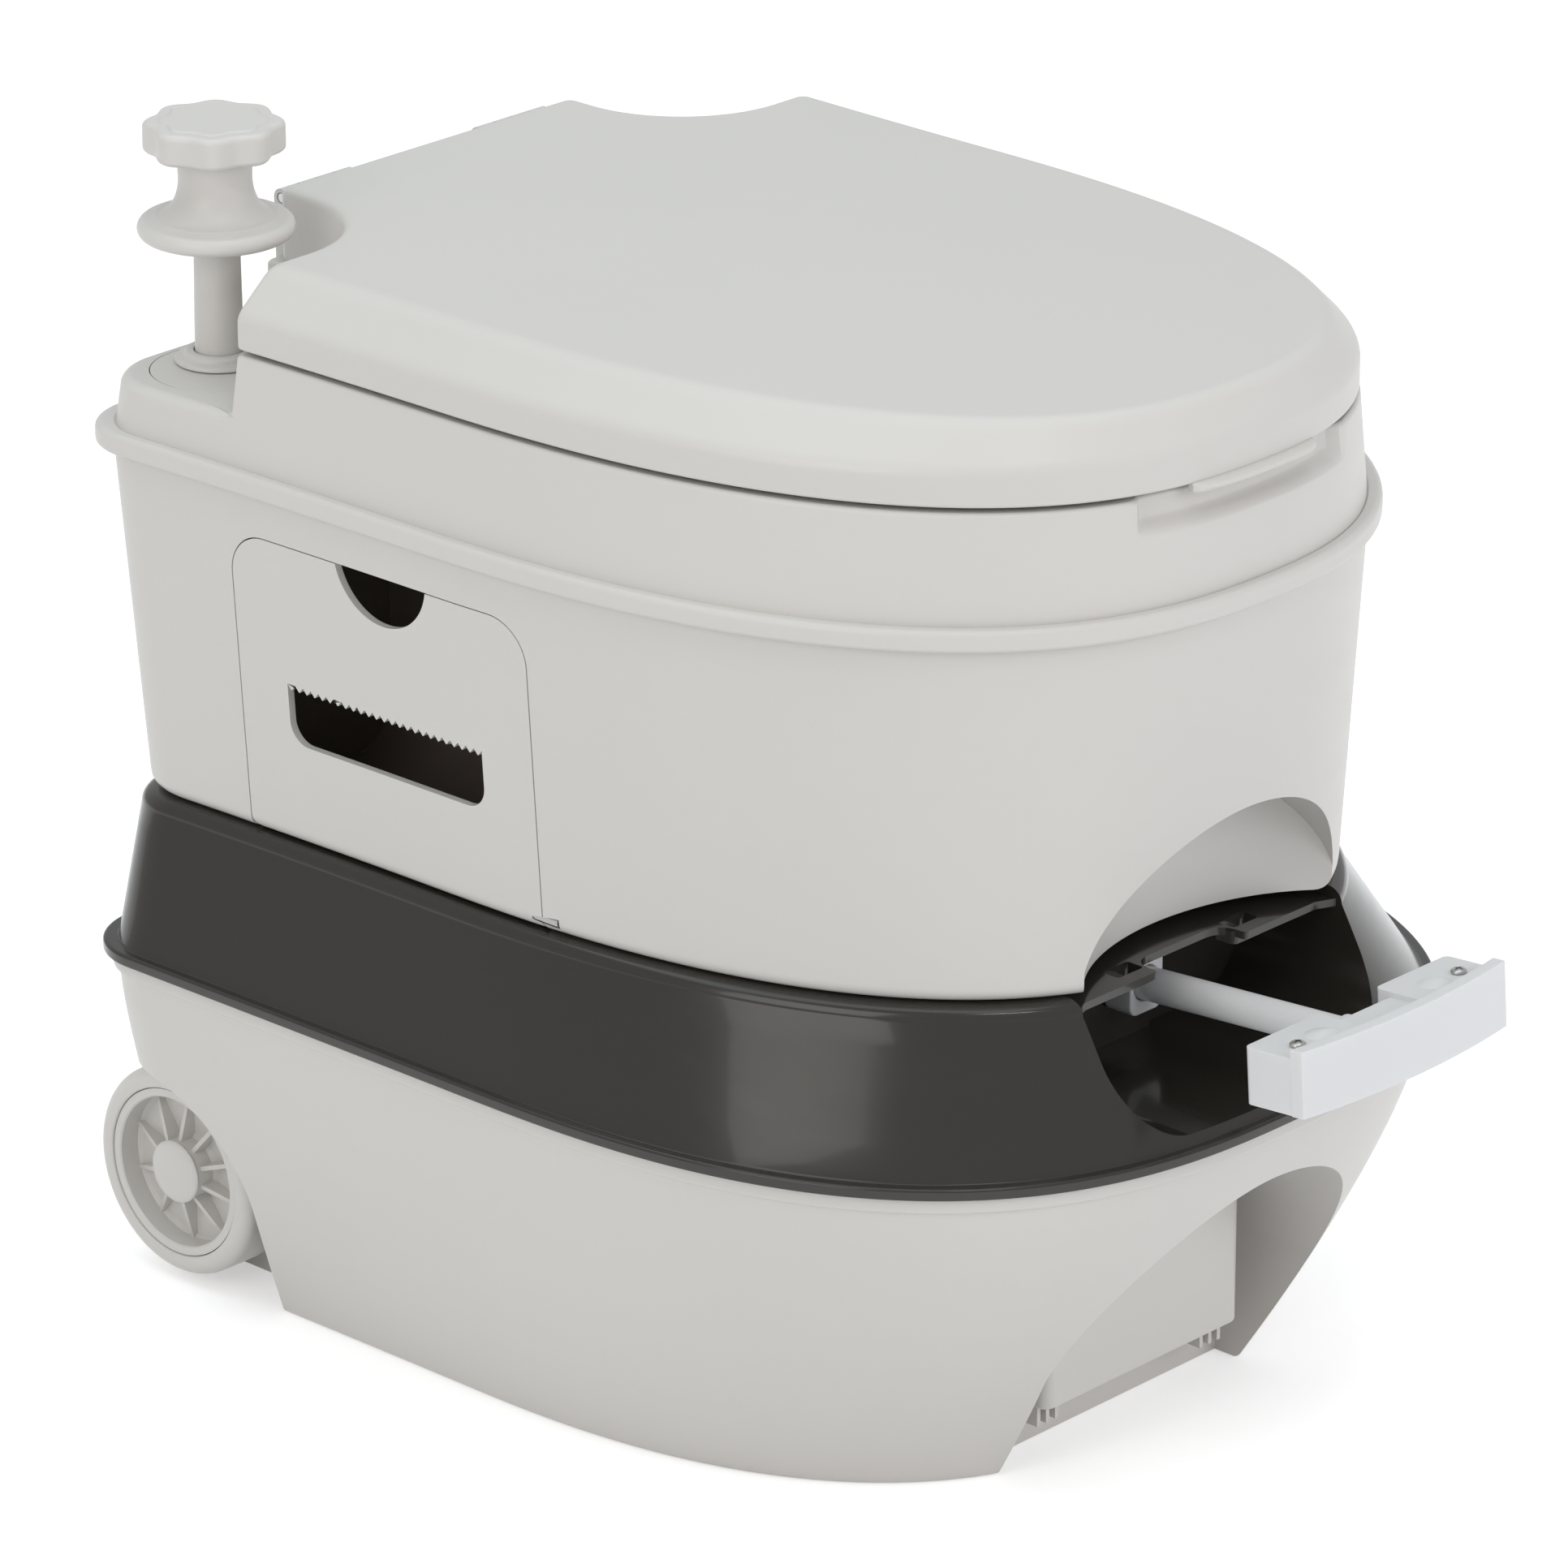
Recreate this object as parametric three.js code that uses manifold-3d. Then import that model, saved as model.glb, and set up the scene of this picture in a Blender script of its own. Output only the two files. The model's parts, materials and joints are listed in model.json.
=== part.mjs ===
// A portable cassette toilet: a fresh-water upper half with bowl, seat, lid, hand pump and paper compartment,
// standing on a wheeled waste tank with a slide valve that is pulled open at the front.
// Millimetres, +Z up. The rounded front faces -Y and the hand pump stands at the rear, on the -X side.

import * as THREE from 'three';
import { mergeVertices } from 'three/addons/utils/BufferGeometryUtils.js';
import Module from 'manifold-3d';

const wasm = await Module();
wasm.setup();

// Gaps and cutter sizes
const seatGap = 0.3;
const slideGap = 0.5;
const cutOverrun = 6;
const cutReach = 400;
const sliverSize = 0.02;

// Facets, and where the facet of a rounded edge starts
const noseSteps = 10;
const sideSteps = 1;
const cornerSteps = 3;
const roundFacets = 20;
const wheelFacets = 16;
const innerFacets = 12;
const ovalFacets = 24;
const smallFacets = 12;
const cornerFacets = 2;
const archFacets = 8;
const notchSteps = 6;
const bevelShare = 0.33;

// Plan of the belt, the widest line of the upper half
const bodyHalf = 173;
const bodyRearFlare = 3.6;
const bodyRear = 204;
const bodyFront = 233.7;
const bodyWidestY = 27;
const bodyCorner = 27;
const bodyPowerShare = 2.43;

// Heights, stacked from the floor
const bottomShellHeight = 143.7;
const topShellHeight = 58.3;
const tankWallHeight = 138.2;
const beltHeight = 8.6;
const padRise = 17.6;
const platformRise = 22.5;
const lidGap = 1.9;
const lidSkirtHeight = 13.1;
const lidChamferHeight = 15.5;

const lipHeight = bottomShellHeight + seatGap;
const shoulderHeight = lipHeight + topShellHeight;
const tankFoot = shoulderHeight + seatGap;
const beltBottom = tankFoot + tankWallHeight;
const tankHead = beltBottom + beltHeight / 2;
const beltTop = beltBottom + beltHeight;
const padHeight = beltTop + padRise;
const platformHeight = padHeight + platformRise;
const lidRim = platformHeight + lidGap;
const lidCrease = lidRim + lidSkirtHeight;
const lidTop = lidCrease + lidChamferHeight;

// Walls
const tankWall = 3;
const deckWall = 3;
const wasteWall = 3.2;
const lidWall = 3;

// Insets of each plan from the belt
const beltOverhang = 4.6;
const deckInset = 5.2;
const footSideInset = 14;
const footFrontInset = 11;
const footRearInset = 10;
const deckTaperSide = 7.5;
const deckTaperEnd = 1.5;
const lidTopSideInset = 18.6;
const lidTopFrontInset = 8.2;
const lidRearInset = 15.5;
const footRounding = 6;
const padRounding = 4;
const platformRounding = 1.8;
const beltChamfer = 1.5;
const underDepth = 6;
const lidRounding = 1.8;

// Rear corner notches round the pump and the filler
const pumpSideInset = 48;
const pumpRearInset = 31;
const notchRadius = 47;

// Bowl
const bowlCentreY = -30;
const bowlSideInset = 67;
const bowlHalfLength = 124;
const bowlWall = 2.6;
const bowlFlange = 9;
const bowlFlangeThickness = 2;
const bowlSteps = 5;
const bowlSpacingShare = 1.8;
const bowlFlareShare = 0.55;
const bowlSealHeight = 3;
const outletRadius = 28;
const outletWall = 3;
const outletY = -48;
const nozzleDrop = 17;
const nozzleRadius = 7;
const nozzleReach = 14;
const nozzleWall = 1.5;
const flushTubeRadius = 4.5;
const flushSweep = 70;
const flushSteps = 6;
const spoutTubeFacets = 6;
const flushTubeFacets = 4;

// Seat
const seatLift = 3.5;
const seatThickness = 9.5;
const seatSideGap = 2;
const seatNotchGap = 4;
const seatRearInset = 15.5;
const seatArmRoot = 10;
const seatHoleSideInset = 73;
const seatHoleHalfLength = 117;
const seatRounding = 3;
const bumperRadius = 6.5;
const bumperInset = 27;
const bumperY = -60;

// Seat and lid hinge
const hingeRearInset = 9;
const hingeDrop = 7.5;
const hingePinRadius = 1.8;
const barrelRadius = 3.7;
const barrelWidth = 9;
const hingeSideInset = 139;
const stemHalfDepth = 3.3;

// Front lip of the lid and the finger recess below it
const lidLipHalf = 32;
const lidLipReach = 4;
const lidLipThickness = 2.6;
const fingerHalf = 55;
const fingerDepth = 14;
const fingerSetback = 6;
const fingerCorner = 10;

// Front arch of the upper tank
const archHalf = 70;
const archHeight = 57.5;
const archBowlHalf = 83;
const archBowlDepth = 61;
const archBowlFrontOffset = 9;

// Paper compartment
const doorWidth = 149;
const doorHeight = 121;
const doorCentreY = 49.5;
const doorCorner = 17;
const doorFootCorner = 5;
const doorWall = 3;
const doorGap = 0.5;
const doorFootRise = 1;
const doorNotchRadius = 23.5;
const doorNotchDrop = 4.5;
const doorNotchOffset = 3;
const doorSwingRoom = 11;
const doorPinRadius = 2;
const doorPinLength = 14;
const doorPinRise = 5;
const doorPinInset = 0.6;
const doorEyeWall = 1.5;
const doorBossLength = 8;
const slotWidth = 100;
const slotHeight = 24;
const slotRise = 41.5;
const slotCorner = 9;
const slotTooth = 4;
const slotToothDepth = 2.2;
const linerWall = 2;
const linerDepth = 72;
const linerOverlap = 2.5;
const linerLift = 2;
const linerCradle = 24;
const linerShelf = 34;
const linerBack = 30;

// Hand pump
const rodRadius = 9.2;
const rodBelow = 70;
const rodWayRadius = 12;
const discRadius = 29.5;
const discRise = 49;
const discTaper = 3;
const discEdge = 7;
const knobHeight = 45;
const neckRadius = 13.8;
const neckFlare = 0.6;
const neckSteps = 6;
const neckCurveShare = 0.62;
const capRadius = 25.7;
const capLobe = 0.8;
const capHeight = 13;
const capRounding = 1.6;
const capFacets = 24;
const lobeCount = 6;
const collarRadius = 16.8;
const collarHeight = 4.6;
const collarFootHeight = 1.5;
const collarShoulder = 2.3;
const collarHead = 3.7;
const collarStep = 3.4;
const collarBevel = 1.7;
const coverRadius = 35.4;
const coverThickness = 2.4;
const coverEdge = 5;
const pumpTubeRadius = 17;
const pumpTubeWall = 2;
const pumpTubeLength = 126;
const pumpFlange = 5;
const pumpInletRadius = 6;
const pumpPortRise = 12;
const pistonRadius = 13.5;
const pistonHeight = 12;
const pistonGroove = 2.5;
const pistonLand = 3;

// Filler
const fillerFrontInset = 8;
const fillerRadius = 21;
const fillerWall = 4;
const fillerDepth = 18;
const fillerFlange = 4;
const fillerFlangeHeight = 2;
const fillerNeckHeight = 10;
const capWall = 2.2;
const capRibs = 12;
const capRibDepth = 1.4;
const capRibWidth = 3.2;
const capSealHeight = 1.5;

// Waste tank, from the belt's plan
const lipSideFlare = 16;
const lipFrontFlare = 15.6;
const lipRearInset = 9;
const lipRearFlare = 1.4;
const lipWidestY = -16;
const lipCorner = 31;
const lipPowerShare = 2.62;
const lipBand = 4.4;
const lipOverhang = 4.3;
const lipRounding = 1.2;
const shoulderFlare = 3.6;
const shoulderRearFlare = 1.6;
const shoulderRounding = 5.8;
const plateauStep = 2.4;
const plateauInset = 26;
const rimBand = 6.6;
const rimInset = 2.6;
const rimStep = 1.8;
const footSideTaper = 37;
const footFrontTaper = 65;
const footRearTaper = 6;
const footWidestY = 25;
const footPowerShare = 2.48;
const bottomSteps = 6;
const bottomEaseShare = 1.3;
const floorHeight = 12;
const skirtWall = 7;

// Front recess of the waste tank
const recessHalf = 72;
const recessFloor = 8;
const recessCorner = 24;
const recessHeadCorner = 1;
const recessBackY = -163;
const bossProud = 3;
const bossFootHalf = 17;
const bossHeadHalf = 24;
const plateDrop = 4.3;
const plateThickness = 3;
const plateFrontY = -205;
const plateHalf = 64;
const plateSideReach = 4;
const plateNotchHalf = 24.5;
const plateNotchDepth = 12;
const plateNotchCorner = 9;
const hookSlotX = 32;
const hookSlotWidth = 14;
const hookSlotLength = 8;
const hookSlotInset = 10;
const hookSlotCorner = 1.5;

// Slide valve
const valveDrop = 36.1;
const valveStroke = 66;
const bladeHalf = 36;
const bladeThickness = 3;
const frameRail = 6;
const frameLip = 6;
const frameFoot = 3.4;
const sealWidth = 4;
const sealHeight = 1.6;

// Valve handle, measured along its rod from the outlet's axis
const stemRadius = 6.4;
const stemTilt = 4.2;
const lugHalf = 9;
const lugLength = 13;
const lugRise = 9;
const lugFoot = 11;
const lugHead = 12.4;
const lugCorner = 4;
const gripHalf = 57;
const gripFrontU = 253.5;
const gripBulge = 5;
const bowSteps = 6;
const gripThickness = 5.5;
const gripFoot = -8;
const gripHeight = 25.2;
const gripLip = 3.5;
const gripDepth = 27;
const gripBoxInner = 16;
const gripWall = 3;
const gripWebDepth = 20;
const gripBumpX = 31.4;
const gripBumpRadius = 7;
const gripBumpHeight = 1.4;
const gripScrewU = 241.7;
const socketWall = 1.4;
const socketProud = 1.5;
const screwX = 45;
const screwRadius = 3;
const screwHead = 1.6;
const screwShank = 1.5;
const screwLength = 9;

// Lower front arch
const lowArchFoot = 68;
const lowArchHalf = 75;
const lowArchSide = 50;
const lowArchRise = 69;
const lowWallY = -158;

// Wheels
const wheelRadius = 42;
const wheelWidth = 26;
const wheelSideInset = 13;
const wheelLift = 4;
const axleRearInset = 30.4;
const axleRadius = 5;
const axleGap = 0.4;
const axleBearing = 6;
const wellRadius = 50;
const wellGap = 5;
const tyreInner = 34;
const tyreShoulder = 5;
const rimThickness = 3.5;
const rimFlat = 1;
const webThickness = 3;
const hubRadius = 12;
const hubReach = 10.7;
const hubCapRadius = 12.6;
const hubCapHeight = 2.4;
const ribCount = 10;
const ribThickness = 1.8;

// Emptying spout and vent at the rear
const spoutFaceInset = 3;
const spoutRise = 29.5;
const spoutBore = 13.2;
const swivelGap = 0.6;
const spoutRadius = 15;
const spoutWall = 2.2;
const spoutBend = 18;
const spoutReach = 36;
const spoutFlange = 19;
const spoutFlangeHeight = 3.5;
const spoutCapRadius = 18.5;
const spoutCapHeight = 13;
const spoutSteps = 7;
const ventX = 75;
const ventBossRadius = 12;
const ventRadius = 8.5;
const ventProud = 5;
const ventTravel = 3;
const ventShaftRadius = 4;
const ventInnerRadius = 7;
const ventSealHeight = 1;
const ventInnerHead = 2;

// Materials
const palePlastic = { color: 0xd2cfcb, roughness: 0.42, metalness: 0 };
const darkPlastic = { color: 0x3d3a37, roughness: 0.18, metalness: 0 };
const whitePlastic = { color: 0xe2e5e3, roughness: 0.4, metalness: 0 };
const shadowPlastic = { color: 0x2f2c2a, roughness: 0.6, metalness: 0 };
const steel = { color: 0xb4b6b8, roughness: 0.3, metalness: 1 };
const rubber = { color: 0x232323, roughness: 0.8, metalness: 0 };

// Solids

function cleanIndex(geometry) {
  const index = geometry.index.array;
  const kept = [];
  for (let i = 0; i < index.length; i += 3) {
    const [a, b, c] = [index[i], index[i + 1], index[i + 2]];
    if (a !== b && b !== c && c !== a) kept.push(a, b, c);
  }
  return kept;
}

function signedVolume(position, index) {
  const [a, b, c] = [new THREE.Vector3(), new THREE.Vector3(), new THREE.Vector3()];
  let volume = 0;
  for (let i = 0; i < index.length; i += 3) {
    a.fromBufferAttribute(position, index[i]);
    b.fromBufferAttribute(position, index[i + 1]);
    c.fromBufferAttribute(position, index[i + 2]);
    volume += a.dot(b.cross(c));
  }
  return volume;
}

// A closed three.js geometry as a solid that can be joined and cut, its faces turned outward.
function solidOf(source, matrix) {
  const bare = source.clone();
  bare.deleteAttribute('normal');
  bare.deleteAttribute('uv');
  if (matrix) bare.applyMatrix4(matrix);
  const geometry = mergeVertices(bare);
  const index = cleanIndex(geometry);
  if (signedVolume(geometry.attributes.position, index) < 0) index.reverse();
  const mesh = new wasm.Mesh({
    numProp: 3,
    vertProperties: new Float32Array(geometry.attributes.position.array),
    triVerts: new Uint32Array(index),
  });
  return new wasm.Manifold(mesh);
}

// Facets that the cuts left in one plane are merged first.
function geometryOf(solid) {
  const mesh = solid.simplify(sliverSize).getMesh();
  const geometry = new THREE.BufferGeometry();
  geometry.setAttribute('position', new THREE.BufferAttribute(new Float32Array(mesh.vertProperties), 3));
  geometry.setIndex(new THREE.BufferAttribute(new Uint32Array(mesh.triVerts), 1));
  geometry.computeVertexNormals();
  return geometry;
}

function joined(solids) {
  return solids.reduce((all, next) => all.add(next));
}

function at(x, y, z) {
  return new THREE.Matrix4().makeTranslation(x, y, z);
}

function part(parent, name, solid, look) {
  const mesh = new THREE.Mesh(geometryOf(solid), new THREE.MeshStandardMaterial(look));
  mesh.name = name;
  parent.add(mesh);
  return mesh;
}

// Plans and lofts

function shrink(plan, side, front = side, rear = side) {
  return { ...plan, half: plan.half - side, front: plan.front - front, rear: plan.rear - rear };
}

function mix(from, to, share) {
  const plan = {};
  for (const key of Object.keys(from)) plan[key] = from[key] + (to[key] - from[key]) * share;
  return plan;
}

// Counter-clockwise outline: a superelliptic nose, slightly flared sides and rounded rear corners.
function outline(plan) {
  const right = [];
  const exponent = 2 / plan.power;
  const noseLength = plan.widestY + plan.front;
  for (let i = 0; i <= noseSteps; i += 1) {
    const t = (Math.PI / 2) * (i / noseSteps);
    const x = plan.half * Math.sin(t) ** exponent;
    const y = plan.widestY - noseLength * Math.cos(t) ** exponent;
    right.push(new THREE.Vector2(x, y));
  }
  const cornerY = plan.rear - plan.corner;
  const sideX = (y) => plan.half + plan.flare * ((y - plan.widestY) / (plan.rear - plan.widestY)) ** 2;
  for (let i = 1; i <= sideSteps; i += 1) {
    const y = plan.widestY + (cornerY - plan.widestY) * (i / sideSteps);
    right.push(new THREE.Vector2(sideX(y), y));
  }
  const cornerX = sideX(cornerY) - plan.corner;
  for (let i = 1; i <= cornerSteps; i += 1) {
    const t = (Math.PI / 2) * (i / cornerSteps);
    right.push(new THREE.Vector2(cornerX + plan.corner * Math.cos(t), cornerY + plan.corner * Math.sin(t)));
  }
  const left = right.slice(1).reverse().map((point) => new THREE.Vector2(-point.x, point.y));
  return [...right, ...left];
}

function inset(points, distance) {
  return points.map((point, i) => {
    const before = points[(i + points.length - 1) % points.length];
    const after = points[(i + 1) % points.length];
    const along = after.clone().sub(before).normalize();
    return new THREE.Vector2(point.x - along.y * distance, point.y + along.x * distance);
  });
}

function ellipse(half, halfLength, centreY, steps = ovalFacets) {
  const points = [];
  for (let i = 0; i < steps; i += 1) {
    const t = 2 * Math.PI * (i / steps) - Math.PI / 2;
    points.push(new THREE.Vector2(half * Math.cos(t), centreY + halfLength * Math.sin(t)));
  }
  return points;
}

// Joins rings of equal point counts, listed from the bottom up as [points, height].
function loft(rings) {
  const count = rings[0][0].length;
  const positions = [];
  const index = [];
  rings.forEach(([points, height], level) => {
    points.forEach((point) => positions.push(point.x, point.y, height));
    if (level === 0) return;
    const low = (level - 1) * count;
    const high = level * count;
    for (let i = 0; i < count; i += 1) {
      const j = (i + 1) % count;
      index.push(low + i, low + j, high + j, low + i, high + j, high + i);
    }
  });
  const top = (rings.length - 1) * count;
  THREE.ShapeUtils.triangulateShape(rings[rings.length - 1][0], []).forEach(([a, b, c]) => {
    index.push(top + a, top + b, top + c);
  });
  THREE.ShapeUtils.triangulateShape(rings[0][0], []).forEach(([a, b, c]) => index.push(c, b, a));
  const geometry = new THREE.BufferGeometry();
  geometry.setAttribute('position', new THREE.Float32BufferAttribute(positions, 3));
  geometry.setIndex(index);
  return solidOf(geometry);
}

// A flat shape carried along Z, X or Y. For X the shape lies in YZ, and for Y it lies in XZ.
function prismZ(shape, low, high, facets = cornerFacets) {
  const geometry = new THREE.ExtrudeGeometry(shape, {
    depth: high - low, bevelEnabled: false, curveSegments: facets,
  });
  return solidOf(geometry, at(0, 0, low));
}

function prismX(shape, low, high, facets = cornerFacets) {
  const geometry = new THREE.ExtrudeGeometry(shape, {
    depth: high - low, bevelEnabled: false, curveSegments: facets,
  });
  const turn = new THREE.Matrix4().set(0, 0, 1, low, 1, 0, 0, 0, 0, 1, 0, 0, 0, 0, 0, 1);
  return solidOf(geometry, turn);
}

function prismY(shape, low, high, facets = cornerFacets) {
  const geometry = new THREE.ExtrudeGeometry(shape, {
    depth: high - low, bevelEnabled: false, curveSegments: facets,
  });
  const turn = new THREE.Matrix4().set(1, 0, 0, 0, 0, 0, 1, low, 0, 1, 0, 0, 0, 0, 0, 1);
  return solidOf(geometry, turn);
}

function box(x0, x1, y0, y1, z0, z1) {
  const geometry = new THREE.BoxGeometry(x1 - x0, y1 - y0, z1 - z0);
  return solidOf(geometry, at((x0 + x1) / 2, (y0 + y1) / 2, (z0 + z1) / 2));
}

// Turned about Z; the profile is listed as [radius, height] and closed on itself or on the axis.
function turned(profile, facets = roundFacets) {
  const points = profile.map(([radius, height]) => new THREE.Vector2(radius, height));
  const geometry = new THREE.LatheGeometry(points, facets);
  return solidOf(geometry, new THREE.Matrix4().makeRotationX(Math.PI / 2));
}

function disc(radius, low, high, facets = roundFacets) {
  return turned([[0, low], [radius, low], [radius, high], [0, high]], facets);
}

function ring(outer, inner, low, high, facets = roundFacets) {
  return turned([[inner, low], [outer, low], [outer, high], [inner, high], [inner, low]], facets);
}

function cylinderX(radius, x0, x1, y, z, facets = smallFacets) {
  const geometry = new THREE.CylinderGeometry(radius, radius, x1 - x0, facets);
  const turn = new THREE.Matrix4().makeRotationZ(Math.PI / 2);
  return solidOf(geometry, at((x0 + x1) / 2, y, z).multiply(turn));
}

function cylinderY(radius, y0, y1, x, z, facets = smallFacets) {
  const geometry = new THREE.CylinderGeometry(radius, radius, y1 - y0, facets);
  return solidOf(geometry, at(x, (y0 + y1) / 2, z));
}

function transformed(solid, matrix) {
  return solidOf(geometryOf(solid), matrix);
}

function moved(solid, x, y, z) {
  return transformed(solid, at(x, y, z));
}

// The solid and its mirror image on the other side of the middle plane.
function bothSides(solid) {
  return solid.add(transformed(solid, new THREE.Matrix4().makeScale(-1, 1, 1)));
}

function roundedRect(x0, x1, y0, y1, lowRadius, highRadius = lowRadius) {
  const shape = new THREE.Shape();
  shape.moveTo(x0 + lowRadius, y0);
  shape.lineTo(x1 - lowRadius, y0);
  shape.absarc(x1 - lowRadius, y0 + lowRadius, lowRadius, -Math.PI / 2, 0);
  shape.lineTo(x1, y1 - highRadius);
  shape.absarc(x1 - highRadius, y1 - highRadius, highRadius, 0, Math.PI / 2);
  shape.lineTo(x0 + highRadius, y1);
  shape.absarc(x0 + highRadius, y1 - highRadius, highRadius, Math.PI / 2, Math.PI);
  shape.lineTo(x0, y0 + lowRadius);
  shape.absarc(x0 + lowRadius, y0 + lowRadius, lowRadius, Math.PI, 1.5 * Math.PI);
  return shape;
}

// Plans of each level
const beltPlan = {
  half: bodyHalf, flare: bodyRearFlare, rear: bodyRear, front: bodyFront,
  widestY: bodyWidestY, corner: bodyCorner, power: bodyPowerShare,
};
const tankHeadPlan = shrink(beltPlan, beltOverhang);
const tankFootPlan = shrink(beltPlan, footSideInset, footFrontInset, footRearInset);
const deckFootPlan = shrink(beltPlan, deckInset);
const deckHeadPlan = shrink(deckFootPlan, deckTaperSide, deckTaperEnd, deckTaperEnd);
const lidSkirtPlan = shrink(deckHeadPlan, seatGap, seatGap, lidRearInset - deckInset - deckTaperEnd);
const lidTopPlan = shrink(lidSkirtPlan, lidTopSideInset, lidTopFrontInset, 0);
const lipPlan = {
  ...shrink(beltPlan, -lipSideFlare, -lipFrontFlare, lipRearInset),
  flare: lipRearFlare, widestY: lipWidestY, corner: lipCorner, power: lipPowerShare,
};
const shoulderPlan = shrink(tankFootPlan, -shoulderFlare, -shoulderFlare, -shoulderRearFlare);

const pumpX = bodyHalf - pumpSideInset;
const pumpY = bodyRear - pumpRearInset;
const fillerY = pumpY - fillerFrontInset;
const axleY = bodyRear - axleRearInset;
const axleZ = wheelLift + wheelRadius;

// The corner region outside a notch: rounded round the pump or the filler, open to the side and rear.
function cornerRegion(sign, radius, low, high) {
  const shape = new THREE.Shape();
  shape.moveTo(sign * (pumpX - radius), pumpY + cutReach);
  shape.lineTo(sign * (pumpX - radius), pumpY);
  for (let i = 1; i < notchSteps; i += 1) {
    const t = Math.PI + (Math.PI / 2) * (i / notchSteps);
    shape.lineTo(sign * (pumpX + radius * Math.cos(t)), pumpY + radius * Math.sin(t));
  }
  shape.lineTo(sign * pumpX, pumpY - radius);
  shape.lineTo(sign * (pumpX + cutReach), pumpY - radius);
  shape.lineTo(sign * (pumpX + cutReach), pumpY + cutReach);
  return prismZ(shape, low, high);
}

function bothCorners(radius, low, high) {
  return cornerRegion(-1, radius, low, high).add(cornerRegion(1, radius, low, high));
}

// Assembly groups
const toilet = new THREE.Group();
const upperHalf = new THREE.Group();
const wasteTank = new THREE.Group();
toilet.add(upperHalf, wasteTank);

// Upper tank shell

const archCentreY = -(bodyFront + archBowlFrontOffset);
const tankFloor = tankFoot + underDepth;
const outletOuter = outletRadius + outletWall;
const doorLowY = doorCentreY - doorWidth / 2;
const doorHighY = doorCentreY + doorWidth / 2;
const doorInnerX = -(tankFootPlan.half - doorWall);
const doorPinX = doorInnerX + doorPinInset;
const doorPinZ = tankFoot + doorPinRise;
const pinBore = doorPinRadius + seatGap;

// The space behind the front arch, grown by a margin on every side.
function archSpace(margin) {
  const arch = new THREE.Shape();
  arch.moveTo(-(archHalf + margin), tankFoot - cutOverrun);
  arch.lineTo(archHalf + margin, tankFoot - cutOverrun);
  arch.lineTo(archHalf + margin, tankFoot);
  arch.absellipse(0, tankFoot, archHalf + margin, archHeight + margin, 0, Math.PI);
  const hollow = ellipse(archBowlHalf + margin, archBowlDepth + margin, archCentreY);
  const towerHead = tankFoot + archHeight + margin + cutOverrun;
  const tower = loft([[hollow, tankFoot - cutOverrun], [hollow, towerHead]]);
  return prismY(arch, -cutReach, 0, archFacets).intersect(tower);
}

// The door's outline from the given foot, grown by a margin at its sides and top.
function doorShape(margin, foot) {
  const top = tankFoot + doorHeight + margin;
  return roundedRect(doorLowY - margin, doorHighY + margin, foot, top, doorFootCorner, doorCorner + margin);
}

function tankOuter(margin) {
  const foot = outline(shrink(tankFootPlan, margin));
  const head = outline(shrink(tankHeadPlan, margin));
  return loft([
    [inset(foot, footRounding), tankFoot],
    [inset(foot, footRounding * bevelShare), tankFoot + footRounding * bevelShare],
    [foot, tankFoot + footRounding],
    [head, tankHead],
  ]);
}

// The two ends of the door hinge, as the low and high Y of each pin's stretch inside the door.
const doorPinEnds = [[doorLowY, doorLowY + doorPinLength], [doorHighY - doorPinLength, doorHighY]];

function tankHollow(margin) {
  return loft([
    [outline(shrink(tankFootPlan, tankWall + margin)), tankFloor + tankWall],
    [outline(shrink(tankHeadPlan, tankWall + margin)), tankHead + cutOverrun],
  ]);
}

function upperTankShell() {
  const underPlan = outline(shrink(tankFootPlan, plateauInset - slideGap));
  const under = loft([[underPlan, tankFoot - cutOverrun], [underPlan, tankFloor]]);
  const door = prismX(doorShape(doorGap, tankFoot - cutOverrun), -cutReach, doorPinX + doorSwingRoom);
  const pinBoss = pinBore + doorEyeWall;
  const bosses = [
    [doorLowY - doorGap - doorBossLength, doorLowY - doorGap],
    [doorHighY + doorGap, doorHighY + doorGap + doorBossLength],
  ].map(([low, high]) => cylinderY(pinBoss, low, high, doorPinX, doorPinZ));
  const outlet = disc(outletOuter + seatGap, tankFoot, tankFloor + tankWall + cutOverrun);
  return tankOuter(0)
    .subtract(tankHollow(0).subtract(archSpace(tankWall)))
    .subtract(under)
    .add(joined(bosses).intersect(tankOuter(0)))
    .subtract(archSpace(0))
    .subtract(door)
    .subtract(cylinderY(pinBore, doorLowY - doorBossLength, doorHighY + doorBossLength, doorPinX, doorPinZ))
    .subtract(moved(outlet, 0, outletY, 0));
}

part(upperHalf, 'upper_tank_shell', upperTankShell(), palePlastic);

// Paper door, its pins and the compartment behind it

function tearSlot() {
  const low = tankFoot + slotRise;
  const high = low + slotHeight;
  const start = doorCentreY - slotWidth / 2;
  const end = start + slotWidth;
  const slot = new THREE.Shape();
  slot.moveTo(start + slotCorner, low);
  slot.lineTo(end - slotCorner, low);
  slot.absarc(end - slotCorner, low + slotCorner, slotCorner, -Math.PI / 2, 0);
  const teeth = Math.round(slotWidth / slotTooth);
  const pitch = slotWidth / teeth;
  for (let i = 0; i < teeth; i += 1) {
    slot.lineTo(end - pitch * i, high);
    slot.lineTo(end - pitch * (i + 1 / 2), high - slotToothDepth);
  }
  slot.lineTo(start, high);
  slot.lineTo(start, low + slotCorner);
  slot.absarc(start + slotCorner, low + slotCorner, slotCorner, Math.PI, 1.5 * Math.PI);
  return prismX(slot, -cutReach, 0);
}

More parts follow.
